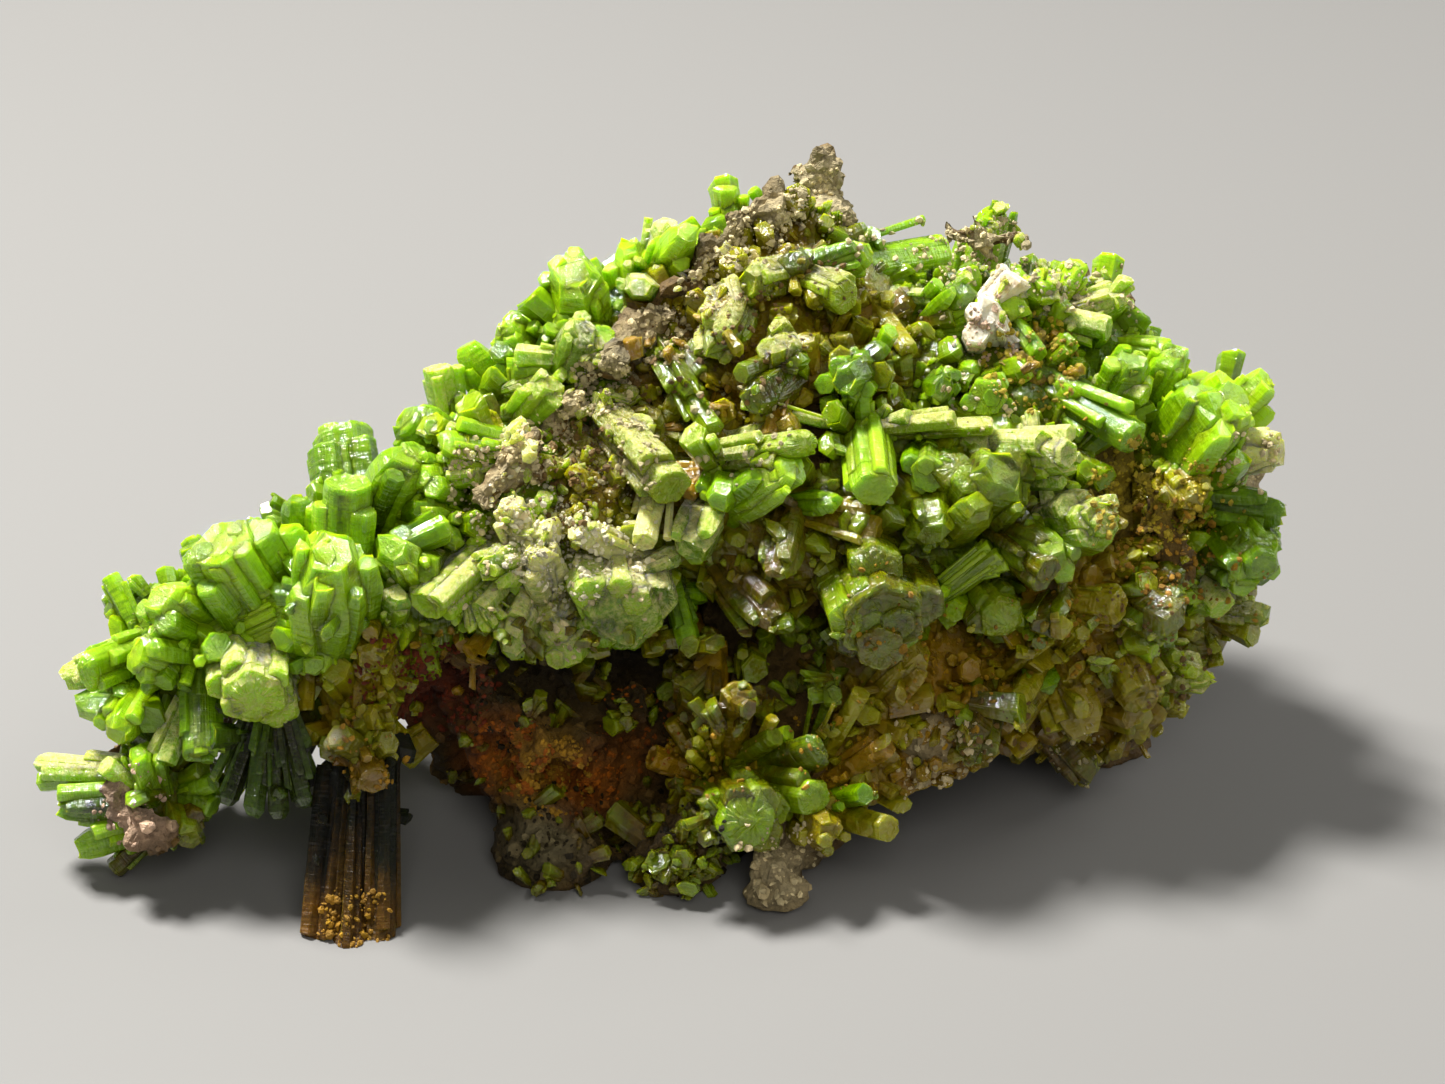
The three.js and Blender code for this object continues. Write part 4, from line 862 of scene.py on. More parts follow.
def crust_patch(skin, cells):
    """The cells' part of the skin, finely divided: points, normals, faces, rim and distances from the rim."""
    if not cells:
        return None
    steps = CELL_STEPS
    share = np.linspace(0, 1, steps + 1)
    s, t = np.meshgrid(share, share, indexing="ij")
    weights = np.stack([(1 - s) * (1 - t), (1 - s) * t, s * t, s * (1 - t)], axis=-1).reshape(-1, 4)
    points, normals, quads = [], [], []
    for n, cell in enumerate(cells):
        corners = cell_corners(cell)
        points.append(weights @ skin.corners[corners])
        normals.append(weights @ skin.normals[corners])
        base = n * (steps + 1) ** 2
        for i in range(steps):
            for j in range(steps):
                a = base + i * (steps + 1) + j
                quads.append((a, a + 1, a + steps + 2, a + steps + 1))
    points, normals = np.vstack(points), unit(np.vstack(normals))
    _, first, inverse = np.unique(np.round(points, 4), axis=0, return_index=True, return_inverse=True)
    inverse = inverse.ravel()
    points, normals = points[first], normals[first]
    quads = [tuple(inverse[list(quad)]) for quad in quads]
    edges = {}
    for quad in quads:
        for i in range(4):
            edges[(quad[i], quad[(i + 1) % 4])] = True
    rim = [(a, b) for a, b in edges if (b, a) not in edges]
    ends = sorted({corner for edge in rim for corner in edge})
    gaps = np.linalg.norm(points[:, None] - points[ends][None], axis=2).min(axis=1)
    return points, normals, quads, rim, gaps


def looks_near(points, crystals):
    """The look of the crust at each point, taken from the crystals near it."""
    places = np.array([(c["root"] + c["tip"]) / 2 for c in crystals])
    looks = np.array([LOOKS[c["look"]] for c in crystals])
    gaps = np.linalg.norm(points[:, None] - places[None], axis=2)
    weights = 1 / (gaps + 0.6) ** 4  # the nearest ones count for most
    return (weights[..., None] * looks).sum(axis=1) / weights.sum(axis=1, keepdims=True)


def add_crust(shell, skin, cells, crystals, seed):
    """The lumpy crust that the crystals of a cluster stand in, thinner towards its edge."""
    patch = crust_patch(skin, cells)
    if patch is None:
        return
    points, normals, quads, rim, gaps = patch
    bulge = sum(lumps(points, width, seed + 40 * n) * height for n, (width, height) in enumerate(CRUST_LUMPS))
    edge, more, rise = CRUST_EDGE
    height = CRUST_HEIGHT * (edge + more * smooth_step(gaps / rise)) + (bulge - CRUST_SINK)
    top = points + normals * height[:, None]
    under = points - normals * CRUST_UNDERSIDE
    count = len(points)
    faces = list(quads) + [tuple(corner + count for corner in reversed(quad)) for quad in quads]
    faces += [(b, a, a + count, b + count) for a, b in rim]
    # The crust's green is darker than its crystals': painted shade in the gaps between them, which the druse
    # grown on it takes too.
    look = looks_near(points, crystals) * CRUST_LOOK_AND_SHADE[0] + CRUST_LOOK_AND_SHADE[1]
    look = np.vstack([look, look])
    grows = np.concatenate([np.ones(count), np.zeros(count)])
    tip = np.concatenate([np.full(count, CRUST_TIP), np.zeros(count)])
    both = np.vstack([top, under])
    shell.add(both, faces, look, tip, 0.5, both, grows)


# ---- Nodes ----
def add_node(tree, kind, inputs=None, **settings):
    """Adds a node with these settings. An input is a value, a socket to link from, or a node, which gives its
    first output."""
    node = tree.nodes.new(kind)
    for name, value in settings.items():
        setattr(node, name, value)
    for key, value in (inputs or {}).items():
        socket = node.inputs[key]
        if isinstance(value, bpy.types.Node):
            value = value.outputs[0]
        if isinstance(value, bpy.types.NodeSocket):
            tree.links.new(value, socket)
        else:
            socket.default_value = value
    return node


DRUSE_DENSITY = 6.0  # most crystals in a square millimetre
FULL_TURN = 6.283  # radians
SMALLNESS = 2.2  # the higher, the more of the druse is near the smallest size


def druse_tree():
    """Small crystals grown over a crust wherever its 'grows' value lets them."""
    tree = bpy.data.node_groups.new("Druse", "GeometryNodeTree")
    face = tree.interface
    face.new_socket("Geometry", in_out="INPUT", socket_type="NodeSocketGeometry")
    sizes = {
        "Spacing": (0.9, "NodeSocketFloat"), "Smallest": (0.5, "NodeSocketFloat"),
        "Largest": (1.3, "NodeSocketFloat"), "Lean": (0.7, "NodeSocketFloat"), "Seed": (1, "NodeSocketInt"),
        "Crystals": (None, "NodeSocketCollection"), "Finish": (None, "NodeSocketMaterial"),
    }
    for name, (value, kind) in sizes.items():
        socket = face.new_socket(name, in_out="INPUT", socket_type=kind)
        if value is not None:
            socket.default_value = value
    face.new_socket("Geometry", in_out="OUTPUT", socket_type="NodeSocketGeometry")
    given = tree.nodes.new("NodeGroupInput").outputs
    seeds = [add_node(tree, "ShaderNodeMath", {0: given["Seed"], 1: apart}) for apart in (7.0, 3.0, 5.0)]
    grows = add_node(tree, "GeometryNodeInputNamedAttribute", {"Name": "grows"}, data_type="FLOAT")
    scattered = add_node(tree, "GeometryNodeDistributePointsOnFaces", {
        "Mesh": given["Geometry"], "Distance Min": given["Spacing"], "Density Max": DRUSE_DENSITY,
        "Density Factor": grows, "Seed": given["Seed"],
    }, distribute_method="POISSON")
    # Each leans at random and is turned round itself.
    lean = add_node(tree, "ShaderNodeMath", {0: given["Lean"], 1: -1.0}, operation="MULTIPLY")
    low = add_node(tree, "ShaderNodeCombineXYZ", {"X": lean, "Y": lean, "Z": 0.0})
    high = add_node(tree, "ShaderNodeCombineXYZ", {"X": given["Lean"], "Y": given["Lean"], "Z": FULL_TURN})
    turn = add_node(tree, "FunctionNodeRandomValue", {
        "Min": low, "Max": high, "Seed": given["Seed"],
    }, data_type="FLOAT_VECTOR")
    turned = add_node(tree, "FunctionNodeEulerToRotation", {"Euler": turn})
    rotation = add_node(tree, "FunctionNodeRotateRotation", {
        "Rotation": scattered.outputs["Rotation"], "Rotate By": turned,
    }, rotation_space="LOCAL")
    # Most are near the smallest size.
    chosen = add_node(tree, "FunctionNodeRandomValue", {
        "Min": 0.0, "Max": 1.0, "Seed": seeds[0],
    }, data_type="FLOAT").outputs[1]
    skewed = add_node(tree, "ShaderNodeMath", {0: chosen, 1: SMALLNESS}, operation="POWER")
    width = add_node(tree, "ShaderNodeMapRange", {
        "Value": skewed, "To Min": given["Smallest"], "To Max": given["Largest"],
    })
    kinds = add_node(tree, "GeometryNodeCollectionInfo", {
        "Collection": given["Crystals"], "Separate Children": True, "Reset Children": True,
    })
    kind = add_node(tree, "FunctionNodeRandomValue", {
        "Min": 0, "Max": 99, "Seed": seeds[1],
    }, data_type="INT").outputs[2]
    stood = add_node(tree, "GeometryNodeInstanceOnPoints", {
        "Points": scattered, "Instance": kinds, "Pick Instance": True,
        "Instance Index": kind, "Rotation": rotation, "Scale": width,
    })
    tint = add_node(tree, "FunctionNodeRandomValue", {
        "Min": 0.0, "Max": 1.0, "Seed": seeds[2],
    }, data_type="FLOAT").outputs[1]
    stored = add_node(tree, "GeometryNodeStoreNamedAttribute", {
        "Geometry": stood, "Name": "tint", "Value": tint,
    }, data_type="FLOAT", domain="INSTANCE")
    real = add_node(tree, "GeometryNodeRealizeInstances", {"Geometry": stored})
    whole = add_node(tree, "GeometryNodeJoinGeometry", {0: real})
    tree.links.new(given["Geometry"], whole.inputs[0])
    finished = add_node(tree, "GeometryNodeSetMaterial", {"Geometry": whole, "Material": given["Finish"]})
    add_node(tree, "NodeGroupOutput", {"Geometry": finished})
    return tree


def grown_over(mesh, tree, **inputs):
    """The mesh with a tree's crystals grown over it, as a plain mesh."""
    thing = bpy.data.objects.new("growing", mesh)
    bpy.context.scene.collection.objects.link(thing)
    modifier = thing.modifiers.new("growth", "NODES")
    modifier.node_group = tree
    sockets = {s.name: s.identifier for s in tree.interface.items_tree if s.in_out == "INPUT"}
    for name, value in inputs.items():
        modifier[sockets[name]] = value
    made = bpy.data.meshes.new_from_object(thing.evaluated_get(bpy.context.evaluated_depsgraph_get()))
    bpy.data.objects.remove(thing)
    return made


DRESSED = "_dressed"  # ends the name of every piece that stands for a CAD node


def finished_piece(name, mesh, material, node):
    """A mesh in millimetres as a piece that stands for a CAD node."""
    size = len(mesh.vertices) * 3
    points = np.empty(size, np.float32)
    mesh.vertices.foreach_get("co", points)
    points = points.reshape(-1, 3) * MM
    points[:, 2] = np.maximum(points[:, 2], 0)
    mesh.vertices.foreach_set("co", points.ravel())
    mesh.materials.clear()
    mesh.materials.append(material)
    mesh.polygons.foreach_set("use_smooth", [False] * len(mesh.polygons))
    mesh.update()
    piece = bpy.data.objects.new(name, mesh)
    bpy.context.scene.collection.objects.link(piece)
    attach(piece, "root")
    if node:
        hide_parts(node)
    return piece


SPRIGS = ("prism", "chunk", "plate", "prism", "needle", "chunk", "prism", "plate", "prism", "chunk")
# Length, width and crystals of a sprig of each form.
SPRIG_SIZES = {
    "prism": (1.15, 0.9, 2), "chunk": (0.8, 0.9, 2), "plate": (0.9, 0.9, 2), "needle": (1.1, 0.42, 3),
}
SPRIG_ROOT = 0.3  # of its length below the face that it grows on
SPRIG_NECK = 0.2
SPRIG_GRAIN_SHIFT = 7.3


def small_crystals():
    """A collection of unit-sized crystals and sprigs for the druse."""
    kinds = bpy.data.collections.new("druse_crystals")
    for i, form in enumerate(SPRIGS):
        usual_length, width, count = SPRIG_SIZES[form]
        shell = Shell()
        members = crystal_members(form, usual_length * at_least(i + 3, 0.85, 0.4), width, 900 + i * 13)
        for member, offset, reach, size, lean, seed in members[:count]:
            points, faces, tip = prism_points(reach, size, HABITS[member], seed, SPRIG_NECK, True)
            axis = unit(np.array([lean[0], lean[1], 1.0]))
            side = unit(ACROSS - axis * axis[0])
            placed_points = placed(points, np.array([*offset, -SPRIG_ROOT]), axis, side, np.cross(axis, side))
            grain = points + i * SPRIG_GRAIN_SHIFT
            shell.add(placed_points + FOOTPRINT_CENTRE, faces, (0, 0, 0), tip, 0.5, grain, 0.0)
        mesh = shell.mesh("sprig_%02d" % i)
        for name in ("look", "tint", "grows"):  # these come from the crust that it grows on
            mesh.attributes.remove(mesh.attributes[name])
        kinds.objects.link(bpy.data.objects.new(mesh.name, mesh))
    return kinds


# ---- Rock ----
# Umber is dark brown earth; laid in the hollow and under the ledges it is also painted shade.
EARTHS = {
    "brown": "#755a2a", "grey_brown": "#c4b684", "cream": "#d6c594", "rust": "#96500a", "ochre": "#a67a1e",
    "clay": "#d6c392", "umber_and_shade": "#2b220e", "red_brown": "#6a2a10", "gold": "#a57c10", "mustard": "#b39c28",
    "bone": "#f0e6bf", "pink": "#d0ae90",
}
# Where the rock has another colour: [across, up, radius, colour, strength], on the show grid.
ROCK_PATCHES = [
    # The umber patches in the hollow and under the ledges are dark earth and painted shade.
    (34.6, 21.0, 5.0, "umber_and_shade", 0.9), (26.0, 12.4, 5.0, "umber_and_shade", 0.8), (33.0, 11.4, 4.0, "umber_and_shade", 0.6),
    (25.0, 21.0, 4.6, "umber_and_shade", 0.8), (30.0, 21.4, 4.0, "umber_and_shade", 0.9), (22.0, 15.6, 2.4, "umber_and_shade", 0.8),
    (18.0, 14.0, 3.0, "umber_and_shade", 0.7), (20.4, 19.8, 2.4, "red_brown", 0.9), (22.6, 20.4, 1.6, "red_brown", 0.8),
    (24.8, 16.6, 2.0, "rust", 1.0), (27.0, 15.8, 2.2, "ochre", 0.9), (29.0, 14.8, 1.8, "rust", 0.9),
    (31.2, 16.4, 1.8, "rust", 0.5), (27.2, 12.2, 2.0, "grey_brown", 0.3),
    (41.2, 44.6, 2.4, "cream", 1.0), (39.8, 43.2, 2.2, "clay", 0.8), (37.4, 41.6, 2.4, "grey_brown", 0.8),
    (35.0, 39.6, 1.6, "brown", 0.7), (33.0, 37.4, 2.4, "clay", 0.6), (30.2, 35.0, 2.4, "grey_brown", 0.9),
    (28.0, 32.4, 2.4, "clay", 0.8), (25.4, 30.2, 2.2, "clay", 0.8), (48.4, 42.0, 3.0, "cream", 0.9),
    (52.4, 41.4, 3.0, "cream", 0.8), (56.0, 39.2, 2.0, "brown", 0.9), (51.8, 36.4, 2.4, "mustard", 0.7),
    (57.6, 29.6, 3.2, "mustard", 0.9), (58.4, 26.4, 2.6, "brown", 0.9), (63.6, 30.0, 2.4, "clay", 0.8),
    (46.8, 16.0, 3.0, "clay", 0.7), (48.4, 15.0, 2.4, "brown", 0.8), (38.8, 10.4, 2.4, "clay", 0.8),
    (6.8, 14.0, 2.4, "pink", 1.0),
]
# Bare edge between the two slopes, from the peak down, and other bare knobs: [across, up, radius, out of the
# skin].
RIDGE = [
    (41.4, 45.4, 0.98, 2.25), (40.4, 44.6, 1.3, 2.35), (39.0, 43.4, 0.98, 2.45), (38.1, 42.7, 1.2, 2.45),
    (37.0, 41.6, 0.78, 2.75), (36.2, 41.2, 1.1, 2.35), (35.0, 40.2, 0.88, 2.75), (34.4, 39.1, 1.1, 2.45),
    (33.0, 38.1, 0.78, 2.85), (32.4, 36.9, 1.1, 2.45), (31.1, 36.2, 0.88, 2.75), (30.6, 35.0, 0.98, 2.75),
    (29.2, 34.5, 0.78, 2.85), (28.5, 33.2, 1.1, 2.45), (27.5, 32.7, 0.78, 2.75), (26.8, 31.4, 1.2, 2.45),
    (25.8, 30.9, 0.88, 2.75), (25.2, 29.8, 1.2, 2.35), (24.4, 29.2, 0.98, 2.45), (27.0, 30.2, 1.1, 2.55),
    (51.6, 36.6, 1.2, 1.6), (52.2, 35.2, 1.0, 1.6), (50.6, 35.6, 0.9, 1.7), (57.2, 30.4, 1.2, 1.7),
    (58.0, 28.8, 1.3, 1.7), (58.4, 27.2, 1.2, 1.7), (57.0, 28.0, 1.1, 1.8), (58.8, 25.8, 1.1, 1.7),
    (56.2, 39.0, 0.9, 1.7), (54.0, 40.6, 0.9, 1.7), (49.2, 42.4, 1.0, 1.6), (51.0, 42.0, 1.1, 1.6),
    (47.6, 42.6, 0.9, 1.6), (46.6, 15.8, 1.8, 0.6), (47.6, 17.4, 1.6, 0.8), (24.4, 17.2, 1.3, 0.4),
    (26.6, 16.4, 1.5, 0.5), (28.6, 15.4, 1.3, 0.4), (26.2, 13.2, 1.2, 0.3), (28.6, 11.8, 1.4, 0.3),
    (20.6, 19.6, 1.2, 0.9), (22.4, 20.6, 1.1, 0.9), (31.4, 17.4, 1.3, 0.5), (24.0, 19.4, 1.2, 0.5),
    (6.3, 14.1, 1.35, 2.6), (7.5, 13.5, 1.2, 2.5),
]
PATCH_BLUR = 1.35  # radii at which a patch has faded out
ROCK_VOXEL = 0.3
CRAGS = ((0.22, 0.5), (0.6, 0.3), (1.5, 0.16))  # waves in a millimetre and height of each size of crag
KNOBS = ((2.6, 1.1), (1.2, 0.7))  # width and height of each size of knob
DEEPEST_PIT = -1.3
HIGHEST_CRAG = 1.1
BASE_MARGIN = (0.05, 0.8)  # the crags start this far above the table, and are full so much higher
WELD_REACH = 1e-3
LUMP_SHIFT = (0.35, 0.3)  # most that a lump of the ridge is moved outwards and upwards
LUMP_SIZE = (0.95, 0.3)  # usual share of its radius, and most that it is more or less
LUMP_ROUGHNESS = (1.1, 0.7)  # waves in a millimetre, and share of the radius
LUMP_BASE = 0.9  # share of a crust's height that is taken from how far out a lump is
CRUMBLE = (0.45, 0.35, 0.9)  # waves in a millimetre, usual share of crumbs, and how much it varies
LOWEST_CRUMB = 0.8
# The druse tree's inputs for crumbs on the rock.
ROCK_GRAINS = dict(Spacing=0.6, Smallest=0.2, Largest=0.85, Lean=1.5, Seed=5)


def grid_place(points):
    """Where points in the show frame are seen on the show grid."""
    sight = points - EYE
    scale = EYE_DISTANCE / (sight @ INTO)
    return GRID_CENTRE[0] + (sight @ ACROSS) * scale, GRID_CENTRE[1] + (sight @ UP) * scale


def linear(colour):
    """A '#rrggbb' colour as linear red, green, blue and alpha."""
    parts = [int(colour[i:i + 2], 16) / 255 for i in (1, 3, 5)]
    return (*(p / 12.92 if p <= 0.04045 else ((p + 0.055) / 1.055) ** 2.4 for p in parts), 1.0)


def earth_colours(points, normals):
    """The rock's colour at each point in the show frame."""
    across, up = grid_place(points)
    shown = smooth_step((-(normals @ INTO) + 0.35) / 0.5)  # what faces away keeps the plain brown
    colour = np.tile(np.array(linear(EARTHS["brown"])[:3]), (len(points), 1))
    for u, v, radius, earth, strength in ROCK_PATCHES:
        gap = np.hypot(across - u, up - v) / radius
        share = (np.clip(PATCH_BLUR - gap, 0, 1) * strength * shown)[:, None]
        colour = colour * (1 - share) + np.array(linear(EARTHS[earth])[:3]) * share
    return colour


def rock_mesh():
    """The rock with broken ledges, pits and its colours, in millimetres."""
    source = frame["nodes"]["limonite_rock"].data.copy()
    work = bmesh.new()
    work.from_mesh(source)
    bmesh.ops.scale(work, vec=Vector((1, 1, 1)) / MM, verts=work.verts)
    bmesh.ops.remove_doubles(work, verts=work.verts, dist=WELD_REACH)
    skin = shared()["skin"]
    for n, (across, up, radius, out) in enumerate(RIDGE):
        seat = skin.seat_point(across, up)
        outward = unit(seat - spine_at(seat[0]))
        lift = out - CRUST_HEIGHT * LUMP_BASE + spread(n, LUMP_SHIFT[0])
        centre = seat + outward * lift + UP * spread(n + 50, LUMP_SHIFT[1])
        size = radius * (LUMP_SIZE[0] + spread(n + 9, LUMP_SIZE[1]))
        lump = bmesh.ops.create_icosphere(work, subdivisions=2, radius=size)["verts"]
        waves, roughness = LUMP_ROUGHNESS
        for vertex in lump:
            vertex.co *= 1 + roughness * noise.noise(vertex.co * waves + Vector((n * 3.1, 0, 0)))
            vertex.co += Vector(centre - FOOTPRINT_CENTRE)
    work.to_mesh(source)
    work.free()
    thing = bpy.data.objects.new("rough_rock", source)
    bpy.context.scene.collection.objects.link(thing)
    remesh = thing.modifiers.new("voxels", "REMESH")
    remesh.mode = "VOXEL"
    remesh.voxel_size = ROCK_VOXEL
    smooth = thing.modifiers.new("smooth", "SMOOTH")
    smooth.factor = 0.6
    smooth.iterations = 2
    mesh = bpy.data.meshes.new_from_object(thing.evaluated_get(bpy.context.evaluated_depsgraph_get()))
    bpy.data.objects.remove(thing)
    count = len(mesh.vertices)
    points = np.empty(count * 3, np.float32)
    normals = np.empty(count * 3, np.float32)
    mesh.vertices.foreach_get("co", points)
    mesh.vertices.foreach_get("normal", normals)
    points, normals = points.reshape(-1, 3), normals.reshape(-1, 3)
    height = np.zeros(count)
    for waves, size in CRAGS:
        height += size * np.array([
            noise.ridged_multi_fractal(Vector(p) * waves + Vector((7, 3, 1)), 1.0, 2.1, 4, 1.0, 2.0) - 1.2
            for p in points
        ])
    for n, (width, size) in enumerate(KNOBS):
        height += size * (lumps(points, width, n * 9 + 3) - 0.6)
    margin, rise = BASE_MARGIN
    height = np.clip(height, DEEPEST_PIT, HIGHEST_CRAG) * smooth_step((points[:, 2] - margin) / rise)
    moved = points + normals * height[:, None]
    is_flat = points[:, 2] < 0.02
    moved[:, 2] = np.where(is_flat, 0.0, np.maximum(moved[:, 2], 0.0))
    mesh.vertices.foreach_set("co", moved.astype(np.float32).ravel())
    colours = earth_colours(moved + FOOTPRINT_CENTRE, normals)
    patch = mesh.attributes.new("patch", "FLOAT_VECTOR", "POINT")
    patch.data.foreach_set("vector", colours.astype(np.float32).ravel())
    waves, usual, varies = CRUMBLE
    crumbly = np.clip(usual + varies * np.array([noise.noise(Vector(p) * waves) for p in points]), 0.05, 1)
    crumbly *= points[:, 2] > LOWEST_CRUMB
    grows = mesh.attributes.new("grows", "FLOAT", "POINT")
    grows.data.foreach_set("value", crumbly.astype(np.float32))
    mesh.update()
    return mesh


def crumb_kinds():
    """A collection of unit-sized broken grains."""
    kinds = bpy.data.collections.new("crumbs")
    for i in range(CRUMB_KINDS):
        work = bmesh.new()
        bmesh.ops.create_icosphere(work, subdivisions=1, radius=0.5)
        for n, vertex in enumerate(work.verts):
            vertex.co *= 1 + spread(i * 77 + n, CRUMB_UNEVENNESS)
        mesh = bpy.data.meshes.new("crumb_%d" % i)
        work.to_mesh(mesh)
        work.free()
        kinds.objects.link(bpy.data.objects.new(mesh.name, mesh))
    return kinds


# ---- Earth on the crystals ----
# Where crumbs lie on the crystals: [across, up, radius, crumbs, earth], on the show grid.
DUSTINGS = [
    (28.0, 26.4, 2.4, 348, "bone"), (26.0, 28.2, 2.2, 290, "bone"), (30.6, 27.4, 2.0, 130, "bone"),
    (24.6, 30.0, 2.2, 377, "clay"), (28.6, 30.6, 2.4, 377, "brown"), (31.4, 31.4, 1.8, 159, "grey_brown"),
    (27.6, 23.2, 2.0, 58, "cream"), (24.0, 25.6, 1.8, 58, "clay"), (31.4, 24.8, 1.6, 43, "cream"),
    (17.8, 7.9, 1.7, 170, "ochre"), (17.9, 8.8, 1.5, 80, "gold"),
    (30.0, 35.0, 1.4, 290, "cream"), (33.0, 37.4, 1.4, 290, "clay"), (35.6, 40.2, 1.4, 290, "cream"),
    (38.0, 42.4, 1.4, 290, "cream"), (27.4, 32.2, 1.4, 290, "clay"), (40.4, 44.4, 1.4, 232, "cream"),
    (33.6, 36.0, 2.0, 110, "brown"), (36.4, 38.2, 2.2, 110, "brown"), (38.4, 36.0, 2.4, 72, "brown"),
    (40.4, 40.2, 2.4, 87, "brown"), (42.0, 43.6, 2.0, 130, "clay"), (44.4, 43.0, 1.6, 50, "cream"),
    (47.4, 41.8, 1.8, 150, "clay"), (50.0, 41.8, 2.0, 319, "cream"), (52.8, 40.8, 1.8, 232, "cream"),
    (55.4, 39.2, 1.6, 101, "clay"), (47.0, 38.2, 2.2, 72, "clay"), (49.2, 37.6, 1.6, 130, "pink"),
    (51.6, 36.0, 2.2, 377, "mustard"), (49.0, 34.0, 1.8, 43, "clay"), (54.0, 33.8, 1.8, 20, "gold"),
    (57.4, 29.6, 2.6, 580, "mustard"), (58.4, 26.6, 2.4, 377, "ochre"), (55.8, 27.2, 2.0, 34, "mustard"),
    (60.2, 29.0, 2.0, 87, "mustard"), (63.0, 31.0, 1.8, 159, "clay"), (61.4, 24.6, 2.0, 29, "gold"),
    (36.8, 32.6, 2.4, 87, "grey_brown"), (45.2, 23.6, 2.6, 43, "gold"), (44.0, 20.6, 2.4, 72, "gold"),
    (47.6, 19.6, 2.4, 101, "gold"), (52.4, 22.6, 2.4, 87, "gold"), (56.6, 22.6, 2.4, 101, "brown"),
    (58.6, 20.6, 2.0, 87, "brown"), (50.0, 16.8, 2.4, 145, "brown"), (54.4, 16.0, 1.8, 87, "grey_brown"),
    (46.8, 16.4, 2.4, 290, "clay"), (38.8, 11.2, 2.0, 232, "clay"), (35.6, 16.6, 2.2, 72, "gold"),
    (41.6, 16.8, 2.4, 87, "gold"), (6.6, 14.0, 1.8, 120, "pink"), (19.6, 20.2, 2.0, 232, "red_brown"),
    (18.4, 16.6, 1.8, 87, "ochre"), (22.4, 19.8, 2.2, 348, "red_brown"), (25.6, 16.4, 1.8, 377, "rust"),
    (27.6, 15.4, 1.8, 377, "ochre"), (29.4, 14.6, 1.4, 174, "rust"), (31.6, 17.6, 2.0, 159, "rust"),
    # The umber crumbs darken the hollow and the underside: dark earth and painted shade.
    (25.6, 19.2, 2.2, 174, "umber_and_shade"), (28.0, 11.8, 3.0, 377, "umber_and_shade"), (33.6, 12.0, 2.6, 232, "umber_and_shade"),
]
# Where small crystals stand on the rock: [across, up, radius, crystals, look, least and greatest width].
SPRINKLES = [
    # The dark and deep crystals here sit in the hollow and under the ledges, dark partly as painted shade.
    (33.4, 12.2, 2.6, 121, "dark", 0.6, 1.3), (35.4, 10.8, 1.6, 54, "deep", 0.6, 1.4),
    (36.4, 20.4, 2.4, 81, "dark", 0.6, 1.6), (40.2, 21.2, 2.0, 59, "deep", 0.6, 1.5),
    (19.6, 18.2, 1.8, 35, "gold", 0.5, 1.3), (22.6, 21.6, 1.8, 21, "amber", 0.4, 1.0),
    (27.4, 20.8, 2.6, 62, "dark", 0.6, 1.5), (31.6, 20.6, 2.4, 40, "dark", 0.6, 1.4),
    (46.4, 17.6, 2.2, 29, "gold", 0.5, 1.2), (44.0, 18.4, 1.8, 27, "gold", 0.6, 1.4),
    (38.0, 39.0, 3.0, 29, "gold", 0.4, 0.9), (34.0, 35.4, 2.6, 27, "amber", 0.4, 0.9),
    (57.6, 28.6, 2.6, 24, "gold", 0.4, 0.9), (51.8, 36.2, 2.0, 13, "amber", 0.4, 0.8),
    (27.4, 29.4, 2.4, 35, "pale", 0.3, 0.8), (25.4, 31.0, 2.0, 24, "cream", 0.3, 0.8),
    (49.6, 41.4, 3.4, 54, "pale", 0.4, 0.9), (53.6, 40.2, 2.4, 35, "pale", 0.4, 0.9),
    (23.6, 14.6, 2.6, 21, "dark", 0.5, 1.1), (28.0, 11.8, 2.6, 54, "dark", 0.5, 1.3),
    (30.0, 35.0, 1.6, 18, "pale", 0.4, 0.8), (35.6, 40.2, 1.6, 18, "cream", 0.4, 0.8),
    (50.6, 20.0, 3.4, 32, "gold", 0.5, 1.1), (57.0, 21.6, 2.6, 27, "dusty", 0.5, 1.1),
]
CRUMB_SIZES = (0.09, 0.42)  # least and greatest width
CRUMB_KINDS = 6
CRUMB_UNEVENNESS = 0.28  # of each corner's distance from the middle
CLUMPING = 0.9  # clumps of small things in a millimetre
CLUMP_EDGE = (-0.45, 0.25)  # a thing lands only where its clump is denser than a number between these
STREWN_REACH = 1.15  # how far past a zone's radius things are strewn
STREWN_SMALLNESS = 2.2  # the higher, the more of them are near the smallest size
STRETCH = (0.5, 1.4)
STREWN_SLANT = 0.7
STREWN_GRAIN_SHIFT = 40


def mesh_arrays(mesh):
    """A mesh's points, faces and, if it has them, its 'tip' and 'grain' values."""
    points = np.array([vertex.co[:] for vertex in mesh.vertices])
    faces = [tuple(face.vertices) for face in mesh.polygons]
    tip, grain = np.full(len(points), 0.5), points
    if "tip" in mesh.attributes:
        tip = np.array([value.value for value in mesh.attributes["tip"].data])
        grain = np.array([value.vector[:] for value in mesh.attributes["grain"].data])
    return points, faces, tip, grain


